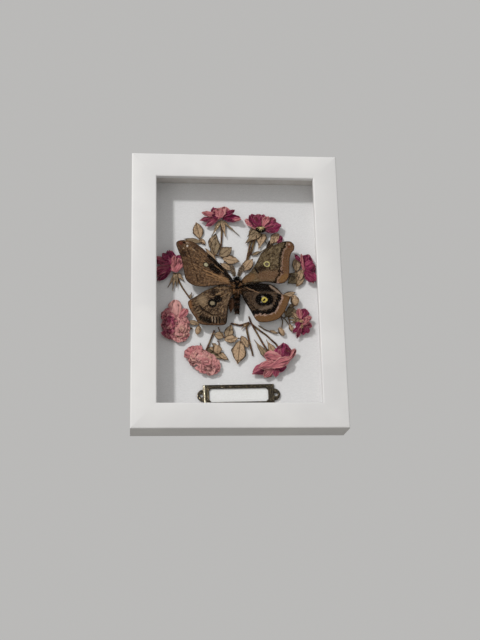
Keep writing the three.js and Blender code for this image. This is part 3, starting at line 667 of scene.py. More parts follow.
def lump(place, swirl=0.0, tone=0.5):
    """A round piece. Place: centre x, z and h, half sizes along x, z and h, and a turn in degrees."""
    x, z, h, half_x, half_z, half_h, *turn = place
    deselect()
    bpy.ops.mesh.primitive_uv_sphere_add(segments=20, ring_count=12, radius=1)
    piece = bpy.context.object
    angle = math.radians(turn[0] if turn else 0)
    for vertex in piece.data.vertices:
        p = vertex.co.copy()
        groove = 1 + swirl * math.sin(GROOVES * math.atan2(p.x, p.y) + 3 * p.z)
        taper = 1 - 0.25 * swirl / BUD_SWIRL * max(0.0, p.z)
        side = p.x * half_x * groove * taper
        rise = p.z * half_z
        depth = -p.y * half_h * groove * taper
        vertex.co = above(x + side * math.cos(angle) + rise * math.sin(angle),
                          z - side * math.sin(angle) + rise * math.cos(angle),
                          max(ROUND_LOWEST, h + depth))
    carry(piece.data, tone=[tone] * len(piece.data.vertices))
    return piece


print("stems lie", STEM_HEIGHT, "mm above the board")

# %% [markdown]
# Eight roses were pressed with the moth. A rose could be one model, copied eight times, but pressing gave
# each its own face, so each lists its petals as they lie. A petal: its tone (d dark crimson, m magenta, v
# between, l coral, p dusty pink, t tan), base x and z, tip x and z, width, and height at base and tip. An
# oval, filled with petals later: tone, middle x and z, half length, half width, turn. A calyx is a round
# piece, a stem its course, a sepal a blade without a tone, and a withered leaf a blade with its tone at
# the end.

# %% Places of the roses
TONES = {"d": 0.02, "m": 0.25, "v": 0.4, "l": 0.5, "p": 0.75, "t": 1.0}
roses = {
    "rose_top_left": {
        "petals": [
            ("d", -17.5, 84.5, -22, 95.5, 8, 5, 2.4), ("l", -11, 85, -8, 97, 10.5, 4.8, 1.6),
            ("l", -15, 82, -15.5, 93, 12.5, 5.6, 7.2), ("d", -12, 82.5, 7, 83.5, 9, 5, 4.6),
            ("l", -2, 81.5, 7.5, 80.5, 4.5, 4.4, 6), ("l", -17, 85, -34.5, 87.5, 6.5, 5, 5.4),
            ("m", -17, 83, -36.5, 80, 5.5, 5, 4.2), ("m", -17, 81.5, -30.5, 73.5, 6, 4.6, 3),
            ("d", -13, 84, 1, 91, 5.5, 4.6, 5.4), ("l", -15.5, 81, -20.5, 90.5, 9, 6, 8),
            ("d", -15.5, 83, -23.5, 86, 7.5, 5.4, 7.4)],
        "calyx": (-13, 79, 1.8, 2.6, 2.4, 1.3),
        "stems": [[(-13, 79), (-13.2, 66), (-13.6, 58.5), (-14.5, 46)]],
        "sepals": [(-14.5, 80, -24.5, 61.5, 4.5, 2.6, 2.6), (-12.6, 80, -9, 61, 5, 2.6, 2.8),
                   (-11.5, 79.5, 6, 63.5, 2.6, 2.6, 2)]},
    "rose_top_right": {
        "petals": [
            ("l", 24.5, 71, 11, 82.5, 7.5, 5, 3), ("d", 25, 72, 16.5, 86.5, 9.5, 5.4, 5.4),
            ("m", 26.5, 73, 24.5, 88, 10.5, 5, 3.4), ("d", 28, 73, 31, 87.5, 8, 5.6, 5.2),
            ("l", 29.5, 73, 35.5, 84.5, 6.5, 6, 7.4), ("m", 30.5, 71.5, 43.5, 83, 12, 5, 4.2),
            ("d", 30, 70.5, 49.5, 74.5, 13, 5.6, 6.2), ("l", 29.4, 70.8, 47, 69.5, 5, 5, 4),
            ("d", 27, 73, 21, 84, 6, 6, 7)],
        "calyx": (24, 66, 1.8, 2.8, 2.6, 1.3),
        "stems": [[(22.5, 64), (21, 58), (17, 43.5)], [(20, 63), (16.5, 56), (11.5, 34.5)],
                  [(21.5, 62), (18.6, 53), (12.8, 36)]],
        "sepals": [(26, 69.6, 11, 55, 13.5, 2.6, 2.4), (29.6, 66.5, 25, 48, 12, 2.6, 2.4),
                   (24.5, 67, 30, 63, 4, 2.4, 2.4)],
        "withered": [(21, 72, 13.5, 62.5, 7, 2.2, 2, 0.2), (28, 66, 34, 55, 4, 1.6, 1.6, -0.6),
                     (19, 63, 12.5, 54, 4, 1.6, 1.4, 0.1)]},
    "rose_left": {
        "petals": [
            ("d", -65.5, 29.5, -67.5, 46.5, 10.5, 5, 4.6), ("d", -63, 30.5, -55, 40, 8.5, 5, 5.4),
            ("m", -66, 30.5, -84, 36, 9.5, 5.2, 5), ("m", -66, 27, -84.4, 19.5, 11.5, 5, 4),
            ("d", -66.5, 26, -80, 13, 8, 5, 2.6), ("l", -64, 28, -63, 39, 4.5, 6, 6.6),
            ("l", -63, 22, -57.4, 37, 13, 5.6, 7), ("d", -66, 30, -75, 42, 7, 6, 6.4)],
        "calyx": (-60.5, 19.5, 1.8, 2.6, 2.6, 1.3),
        "stems": [[(-60.5, 19), (-56, 9), (-46.5, -5.5)]],
        "sepals": [(-62, 22, -64.6, 2, 4.4, 2.6, 2), (-62, 21, -69.6, 6, 3, 2.4, 1.8),
                   (-60.5, 20.5, -60, 5.5, 3.4, 2.6, 2), (-59.5, 21, -52.5, 13, 5, 2.6, 2.2),
                   (-47.4, -5, -44.6, 1.4, 3.4, 1.8, 1.8)]},
    "rose_left_low": {
        "petals": [
            ("p", -61.5, -24, -62, -6.8, 13, 4.6, 4), ("l", -58, -27, -49.4, -17.6, 7.5, 4.6, 4.4)],
        "ovals": [("v", -67, -33, 17, 9, 90), ("p", -57.5, -37, 15.5, 9.4, 90)],
        "calyx": (-58, -35, 1.7, 3, 3, 1.2),
        "stems": [[(-58, -35), (-51, -38), (-44.8, -36.8)]],
        "sepals": [(-57, -37, -49, -41, 3, 2.4, 1.8)]},
    "rose_bottom_left": {
        "petals": [], "ovals": [("p", -35, -71, 20.6, 11, -36)],
        "calyx": (-33, -65, 1.7, 2.8, 2.8, 1.2),
        "stems": [[(-33, -65), (-29.5, -57), (-25, -45.5), (-22.5, -39)]],
        "sepals": [(-34.5, -64, -37.4, -52, 3.4, 2.4, 2)],
        "withered": [(-29.6, -61.5, -21, -55, 7.5, 1.4, 1.6, -0.5),
                     (-28.6, -60, -17.5, -65.5, 8, 1.2, 1.6, 0.0), (-24, -63, -12.6, -70.6, 7, 1, 1.4, 0.5),
                     (-27, -57.5, -20.5, -62, 4, 2.6, 3, 0.8)]},
    "rose_bottom_right": {
        "petals": [
            ("d", 45, -74, 48.5, -52.4, 17, 4.6, 4.2), ("l", 50, -72, 58.8, -59, 7, 4.6, 5.6),
            ("l", 44, -69, 26, -67, 12, 5.2, 5.6), ("m", 42, -71, 14, -85.5, 12, 4.8, 4),
            ("l", 44, -72, 20, -80, 8, 6, 6.2), ("l", 33, -79, 54, -70, 9.5, 5.8, 6.8),
            ("d", 34, -78, 50, -78, 10, 5, 4.4), ("l", 38, -77, 26, -89, 9, 4.8, 3.4),
            ("m", 38, -76, 38, -89, 7, 5, 3), ("d", 46, -68, 52, -58, 9, 5.8, 6.2)],
        "calyx": (33, -64.5, 1.8, 3, 2.8, 1.3),
        "stems": [[(32.5, -64), (31, -60), (22, -44), (14.6, -30.5), (13, -24)],
                  [(42, -56.5), (40, -53), (30.5, -44), (14.6, -31)],
                  [(13.2, -31), (10, -35.5), (12.5, -49.5), (16, -65.5)],
                  [(13.4, -30.6), (4, -33.5), (-5.5, -31.5)]],
        "sepals": [(29.5, -66.2, 17, -48, 7, 2.4, 2.4), (37.5, -63, 29.8, -48, 8, 2.6, 2.4),
                   (38, -62, 43, -55.5, 4, 2.4, 2), (9.8, -32.2, 4.6, -38.2, 2.6, 1.8, 1.8)]},
    "rose_right": {
        "petals": [
            ("d", 71.4, 28, 77, 43.5, 12.5, 5, 4.6), ("d", 71.5, 26, 83.4, 30.5, 15.5, 5, 5.4),
            ("d", 72, 24, 83, 12.5, 11.5, 5.2, 4.4), ("l", 72.5, 24, 81, 10.5, 5, 5, 5.4),
            ("l", 70.8, 24.5, 68.5, 43, 3, 5.6, 6.8), ("d", 71, 32, 61.4, 42.4, 4, 5, 5.6)],
        "calyx": (71, 24, 1.35, 2, 2.4, 0.85),
        "stems": [[(71, 23.6), (61.6, 23.4), (50, 21)]],
        "sepals": [(71, 24.6, 72, 34, 3.4, 2, 2)]},
    "rose_right_low": {
        "petals": [
            ("d", 66.5, -28.5, 71.5, -16, 11, 5, 4.6), ("l", 65.5, -27.5, 63.5, -16.5, 6, 5, 5.6),
            ("l", 68.5, -29.5, 77, -25.5, 5.5, 5.2, 4.6), ("d", 66.5, -30.5, 61, -37.5, 8, 5, 4.4),
            ("d", 66.5, -34, 57, -42, 4.5, 4.8, 3.4), ("m", 66, -35, 61, -48, 4, 4.8, 2.6),
            ("d", 68, -34, 68, -44.5, 6, 5, 3.4), ("d", 69, -33.5, 73, -42.5, 6, 5, 3.8),
            ("m", 69.5, -31, 76.5, -37, 5.5, 5, 4.2), ("l", 68, -34.6, 70.5, -26.5, 4.5, 6, 7.4),
            ("t", 64, -31, 67.8, -30, 3.5, 6.4, 7), ("l", 67, -34, 74, -31, 4, 6, 6.6),
            ("t", 67, -33, 65.5, -38.5, 3, 6.4, 7)],
        "calyx": (63, -28.6, 1.8, 2.4, 2.4, 1.3),
        "stems": [],
        "sepals": [(63.5, -29.5, 55.5, -21.5, 3.4, 2.6, 2.6), (63.5, -28, 59, -17.5, 3.4, 2.6, 2.6),
                   (63.5, -29.2, 51.6, -27, 3.4, 2.8, 3.2)],
        "withered": [(60, -15, 48.6, -26.5, 11, 1.6, 2, -0.25), (64, -27, 55.5, -32, 5, 1.8, 1.6, 0.7),
                     (62, -22, 57.5, -12, 6, 1.4, 1.6, -0.1), (64, -25.5, 55.6, -18.4, 4.4, 3, 3.4, 1.0),
                     (62.5, -24, 54, -24.6, 5, 2.4, 2.6, 0.5)]},
}
single = sum(len(rose["petals"]) for rose in roses.values())
print(len(roses), "roses with", single, "petals placed one by one")

# %% [markdown]
# Six blossoms show single petals, which are laid as they lie in the real ones. The two full pink ones
# show only scalloped rims, and laying all their petals by hand would give no better likeness. So an oval
# is filled with three rings of short broad petals, each lapping over the ring outside it, and seeded
# noise keeps them uneven.

# %% Roses
PETAL_STEP = 0.75
PINK_ROSES = ("rose_left_low", "rose_bottom_left")
RINGS_OF_PETALS = ((0.48, 13), (0.2, 9), (-0.06, 5))


def scalloped(oval, seed):
    """Petals in rings, each ring given by its start as a share of the oval, and its number of petals."""
    tone, x, z, long, wide, turn = oval
    lying = Matrix.Rotation(math.radians(turn), 2)
    petals = []
    for ring, (share, count) in enumerate(RINGS_OF_PETALS):
        for i in range(count):
            angle = 2 * math.pi * (i + 0.5 * (ring % 2)) / count + 0.3 * noise.noise(Vector((i, 2, seed)))
            out = lying @ Vector((long * math.cos(angle), wide * math.sin(angle)))
            start = out * share
            end = out * (share + 0.54 + 0.16 * noise.noise(Vector((i, 5, seed))))
            width = 10.5 - ring + 4 * noise.noise(Vector((i, ring, seed)))
            height = 3.6 + 1.1 * ring
            place = (x + start.x, z + start.y, x + end.x, z + end.y, width, height + 0.4, height)
            shade = TONES[tone] - 0.08 + 0.36 * noise.noise(Vector((i * 1.3, ring, seed + 4)))
            own = seed + i * 0.37 + ring
            petals.append(blade(leaf_blank, place, petal_edge, petal_folds, shade, own, 0.8))
    return petals


def blossom(name, rose, seed):
    """A rose's petals as one piece. Every third petal lies a step higher, so that neighbours don't mix."""
    petals = []
    for i, (tone, *place) in enumerate(rose["petals"]):
        step = (i % 3) * PETAL_STEP
        place[5] += step
        place[6] += step
        petals.append(blade(petal_blank, place, petal_edge, petal_folds, TONES[tone], seed + i * 0.37, 1.1))
    for oval in rose.get("ovals", []):
        petals += scalloped(oval, seed + oval[1])
    whole = joined(petals, PETAL_THICK)
    dress(whole, petal_finish)
    return made(whole, name + "_petals", "petal_pink" if name in PINK_ROSES else "petal_red", name)


def greenery(stems, leaves, lumps, edge, height=STEM_HEIGHT, radius=1.05):
    """Stems, leaves and round pieces that grew as one. A leaf's last number is its tone, 0 olive to 1 tan."""
    stalks = [stem(places, radius, height) for places in stems]
    round_ones = [lump(place, *more) for place, *more in lumps]
    blades = [blade(leaf_blank, place, edge, leaf_folds, tone, place[0] * 0.13 + i * 0.61)
              for i, (*place, tone) in enumerate(leaves)]
    thin = [joined(blades, LEAF_THICK)] if blades else []
    for pieces, material in ((stalks, stem_finish), (thin + round_ones, leaf_finish)):
        for piece in pieces:
            dress(piece, material)
    return joined(thin + round_ones + stalks)


for number, (name, rose) in enumerate(roses.items()):
    blossom(name, rose, 3.1 * number)
    sepals = [(*sepal, 0.35 + 0.5 * (i % 2)) for i, sepal in enumerate(rose["sepals"])]
    calyx = (rose["calyx"], 0.06, 0.4)
    stalk = greenery(rose["stems"], sepals + rose.get("withered", []), [calyx], sepal_edge)
    made(stalk, name + "_stalk", "leaf", name + "_stem")

# %% [markdown]
# Leaf sprays and buds lie between the roses. Real ones were picked from one plant, so they could be
# scattered as copies of one spray. But each lies in its own way, so its leaves are placed like sepals,
# with their tones. A stalk is its course, and a bud is a round piece.

# %% Places of leaves and buds
sprays = {
    "leaves_top_left": {
        "leaves": [(-36, 61, -40, 79.5, 11.5, 1.6, 2, 0.8), (-30.5, 54.5, -37.4, 61.6, 5, 1.4, 1.6, 0.9),
                   (-34.6, 56.6, -53.5, 59.5, 5.4, 1.6, 3, 0.3)],
        "stalks": [[(-31, 54), (-35.5, 57.5), (-36.4, 63)]]},
    "leaves_top_middle": {
        "leaves": [(-21.5, 41, -19, 64.5, 10.5, 2.2, 1.2, 0.2), (-25, 50, -19, 67, 9, 1.2, 1, 0.5),
                   (-15.8, 41, -2.5, 51, 11.5, 2.8, 3.4, 0.3), (-20, 36, -31, 50, 5, 2.4, 2.4, 0.8),
                   (-12.5, 38, 5.5, 34.5, 10.5, 3.2, 3.6, 0.7), (-4, 26, -16.5, 34, 7, 2.6, 2.6, 0.8),
                   (-23.5, 49, -25.6, 58.5, 5, 1.4, 1.4, 0.4)],
        "stalks": [[(-23.4, 50.5), (-21.4, 42.4), (-14.6, 40.6), (-10.4, 37.6), (-12, 31)]],
        "height": 2},
    "leaf_by_antennae": {
        "leaves": [(8.5, 25.5, 19, 39, 10.5, 2.8, 3.2, 0.9)],
        "stalks": [[(8.8, 26), (9.2, 23)]], "height": 2.4},
    "leaves_left": {
        "leaves": [(-37.8, -32.4, -51, -29.5, 5.5, 1.5, 1.8, 0.7)],
        "stalks": [[(-43, -31), (-38.8, -32), (-39, -39.2)]],
        "buds": [(-39, -39.2, 3, 3, 4.8, 2.6, 17)]},
    "leaves_bottom": {
        "leaves": [(-13, -46, -24, -43, 9, 2.8, 2.6, 0.6), (-9.6, -48.4, -5.5, -32.4, 9.5, 2.8, 3.2, 0.5),
                   (-12.5, -49.5, 2, -47.5, 9, 3.4, 3.8, 0.9), (3.5, -50.5, 0, -76, 15, 2.6, 2.8, 1.0),
                   (4.5, -45.5, 12, -58.5, 8, 2.6, 2.4, 0.8)],
        "stalks": [[(-18.5, -36), (-16.4, -42), (-12, -48), (-2, -47.4), (4.6, -48.6), (3, -53)]],
        "height": 2.6},
    "bud_bottom": {
        "leaves": [(-20, -61.5, -8.5, -71, 6, 1.8, 2.2, 0.9), (-20, -57, -25.5, -52.5, 4, 2.4, 2.6, 0.5)],
        "stalks": [[(-19, -58), (-17.6, -52.5), (-19.6, -50)]],
        "buds": [(-20, -59.4, 2.9, 4.6, 4.6, 2.5, 0)]},
    "leaves_right": {
        "leaves": [(63.4, 25, 65, 41.6, 10, 3, 3.2, 0.5), (64, 14, 70.5, 28.5, 9, 2.9, 2.9, 0.8),
                   (65, 20, 54, 11.5, 11, 2.6, 2.2, -0.15), (63, 8.6, 72.5, 20.5, 6, 2.8, 2.6, 0.6),
                   (65, 21.6, 56, 20.6, 5, 3.4, 3, -0.4)],
        "stalks": [[(63, 26), (62.6, 20), (63.4, 14), (64, 8.8)]],
        "height": 2.9},
    "bud_right": {
        "leaves": [(48, -3, 63, 3, 6.5, 1.6, 1.8, 0.7), (60.6, -10.4, 54, -14.6, 4, 2.4, 2, 0.5),
                   (60.5, -13.4, 58.6, -3, 3.6, 5.8, 7, 1.0), (61.8, -13, 63, -4.4, 3, 5.4, 6.4, 0.1),
                   (58.6, -12.4, 57.6, -5, 2.6, 5.2, 6, -0.3)],
        "stalks": [[(60, -4), (57, 1.6)]],
        "buds": [(60.5, -7.3, 4, 4.4, 6, 3.5, -8)]},
    "buds_low_right": {
        "leaves": [(34, -39, 42.5, -42.4, 3, 1.6, 1.8, 0.5), (55, -24.6, 49.5, -17, 5, 1.2, 1.2, 0.4)],
        "stalks": [[(22.5, -33.6), (28, -37.4), (36, -40.8), (45.6, -40.4)],
                   [(44.5, -21), (47.6, -29), (45.6, -40.4)], [(45, -22.6), (51, -27.6), (55.8, -36.4)],
                   [(51, -19), (53.8, -24), (55.8, -36.4)]],
        "buds": [(45.6, -40.4, 3, 2.8, 5, 2.6, -30), (55.8, -36.4, 2.9, 2.4, 3.8, 2.4, -18)]},
    "bud_top_right": {
        # The second leaf's tone of -1 makes it near black: painted shade beside the right forewing.
        "leaves": [(46.5, 67, 37, 54.6, 9.6, 2.2, 1.6, 0.9), (42, 61, 32, 49, 6, 1.6, 1.6, -1.0),
                   (26, 47, 17, 42, 3.4, 1.6, 1.6, 0.3)],
        "stalks": [[(42.5, 58.5), (34.5, 51.5), (23.5, 44)]]},
}
print(len(sprays), "sprays with", sum(len(spray["leaves"]) for spray in sprays.values()), "leaves")

# %% [markdown]
# A spray is made by the same steps as a rose's stalk, so the same function makes it, with the outline of
# a leaf in place of a sepal's. Beside the bud at the top right lies one loose dark petal, which joins its
# spray.

# %% Leaves and buds
BUD_STALK = 0.6
LOOSE_PETAL = (44.6, 57, 49.6, 64.6, 7, 2, 2.4)
for name, spray in sprays.items():
    buds = [(bud, BUD_SWIRL, 0.9) for bud in spray.get("buds", [])]
    height = spray.get("height", STEM_HEIGHT)
    piece = greenery(spray["stalks"], spray["leaves"], buds, leaf_edge, height, BUD_STALK)
    if name == "bud_top_right":
        loose = blade(petal_blank, LOOSE_PETAL, petal_edge, petal_folds, TONES["d"], 5.5)
        loose = joined([loose], PETAL_THICK)
        dress(loose, petal_finish)
        piece = joined([piece, loose])
    made(piece, name + "_spray", "leaf", name)

# %% [markdown]
# A moth's wing is a skin of scales, and its markings are scales of other colours. A picture could carry
# them, but it would be no sharper than itself. So they are painted in the shader by measure: spots, rings
# and strokes by their distance in millimetres from a point or a line, and bands by their distance from
# the wing's own margin. A little noise first shifts every place, because no scale lies on a drawn line.

# %% Marks on a wing
def marked(tree, hue, field, middle, half, soft, hexcode, strength=1.0):
    """Paints where field is within half of middle: a spot, a ring or a band with a soft rim."""
    away = add_node(tree, "Math", {0: field, 1: middle}, operation="SUBTRACT")
    near = add_node(tree, "Math", {0: away}, operation="ABSOLUTE")
    return laid(tree, hue, hexcode, near, (half - soft, half + soft), (strength, 0.0))


def measured(tree, warp, where):
    """Distance in millimetres from a point (x, z), or from a line between two points."""
    start = Vector((where[0], 0, where[1]))
    off = add_node(tree, "VectorMath", {0: warp, 1: start}, operation="SUBTRACT")
    if len(where) == 2:
        return add_node(tree, "VectorMath", {0: off}, operation="LENGTH").outputs["Value"]
    run = Vector((where[2], 0, where[3])) - start
    share = add_node(tree, "VectorMath", {0: off, 1: run / run.length_squared}, operation="DOT_PRODUCT")
    held = add_node(tree, "Clamp", {"Value": share.outputs["Value"]})
    near = add_node(tree, "VectorMath", {0: run, "Scale": held}, operation="SCALE")
    return add_node(tree, "VectorMath", {0: off, 1: near}, operation="DISTANCE").outputs["Value"]


print("marks are measured in millimetres from the frame's middle")

# %% [markdown]
# The ground of a wing is three browns, matt and streaked from the wing's root outwards. Streaks could run
# along one axis, but the veins that they follow fan out. So the noise is read in polar places round the
# root. A real scale is 0.15 mm, too fine to show, so the dark specks are drawn 0.8 mm across.

# %% Scales of a wing
STREAKS_ROUND = 30.0
SHIFT = (2.2, 0, 2.2)
PLAY = {"margin": 7.0, "lead": 2.4, "rim": 1.6}


def fan(tree, warp, root):
    """Streaks that fan out from the wing's root."""
    spread = add_node(tree, "VectorMath", {0: warp, 1: (root[0], 0, root[1])}, operation="SUBTRACT")
    split = add_node(tree, "SeparateXYZ", {0: spread})
    angle = add_node(tree, "Math", {0: split.outputs["Z"], 1: split.outputs["X"]}, operation="ARCTAN2")
    reach = add_node(tree, "VectorMath", {0: spread}, operation="LENGTH").outputs["Value"]
    turn = add_node(tree, "Math", {0: angle, 1: STREAKS_ROUND}, operation="MULTIPLY")
    slow = add_node(tree, "Math", {0: reach, 1: 0.1}, operation="MULTIPLY")
    polar = add_node(tree, "CombineXYZ", {0: turn, 1: slow})
    return add_node(tree, "TexNoise", {"Vector": polar, "Scale": 1.0, "Detail": 4.0, "Roughness": 0.65})


def edge_fields(tree, cloud):
    """Distances from the wing's edges, which its points carry, made uneven by a play in millimetres."""
    fields = {}
    for key, play in PLAY.items():
        edge = add_node(tree, "Attribute", attribute_name=key)
        wave = add_node(tree, "Math", {0: cloud, 1: play, 2: edge.outputs["Fac"]}, operation="MULTIPLY_ADD")
        fields[key] = add_node(tree, "Math", {0: wave, 1: play / 2}, operation="SUBTRACT")
    return fields


def wing_scales(name, root, tones, marks):
    """Dry scales: no shine at all, a ground of a dark, a middle and a light brown, and the marks over it."""
    dark, base, light = tones
    material, tree, shader = finish(name, base, 0.85, Specular_IOR_Level=0.03)
    place = add_node(tree, "TexCoord").outputs["Object"]
    to_mm = {"Vector": place, "Scale": (1 / MM, 0, 1 / MM), "Location": (0, 0, -MIDDLE_Z)}
    flat = add_node(tree, "Mapping", to_mm)
    cloud = add_node(tree, "TexNoise", {"Vector": flat, "Scale": 0.45, "Detail": 3.0})
    push = add_node(tree, "VectorMath", {0: cloud.outputs["Color"], 1: (0.5, 0.5, 0.5)}, operation="SUBTRACT")
    warp = add_node(tree, "VectorMath", {0: push, 1: SHIFT, 2: flat}, operation="MULTIPLY_ADD")
    streak = fan(tree, warp, root)
    hue = laid(tree, dark, base, streak, (0.36, 0.5))
    hue = laid(tree, hue, light, streak, (0.54, 0.64), (0, 0.85))
    hue = laid(tree, hue, light, cloud, (0.52, 0.62), (0, 0.5))
    hue = laid(tree, hue, dark, cloud, (0.47, 0.38), (0, 0.55))
    fields = edge_fields(tree, cloud)
    for where, *mark in marks:
        if where not in fields:
            fields[where] = measured(tree, warp, where)
        hue = marked(tree, hue, fields[where], *mark)
    # A thin dark line along every rim: painted shade at the wing's edge.
    hue = marked(tree, hue, fields["rim"], 0, 0.7, 0.5, "#1E140E", 0.6)
    hue = laid(tree, hue, "#1C130D", grain(tree, 0.8), (0.53, 0.68), (0, 0.5))
    surface(tree, shader, hue, streak, 0.8, 0.6)
    print(name, "has", len(marks), "marks")
    return material


# %% [markdown]
# The silk moth's wings are alike in pairs, but these are worn and turned in different ways, so a mirrored
# pair wouldn't match either side. Each wing lists its own marks, from the lowest to the topmost: where (a
# point, a line between two points, or an edge of the wing), the middle and the half width of the mark as
# distances from it, the softness of its rim, its colour and its strength.

# %% Markings of the four wings
BLACK = "#0B0807"
SOOT = "#1A120D"
UMBER = "#2E1F16"
LEFT_SPOT = (-30.7, 28)
RIGHT_RING = (31.9, 29.5)
CRESCENT = (36.9, 25.2, 40.2, 25.8)
LEFT_EYE = (-24.6, -12.7)
RIGHT_EYE = (28.5, -8.4)
RIGHT_IRIS = (28.6, -8.6)


def alike(look, *places):
    """Marks of one look, from their middle to their strength, at several places."""
    return [(where, *look) for where in places]


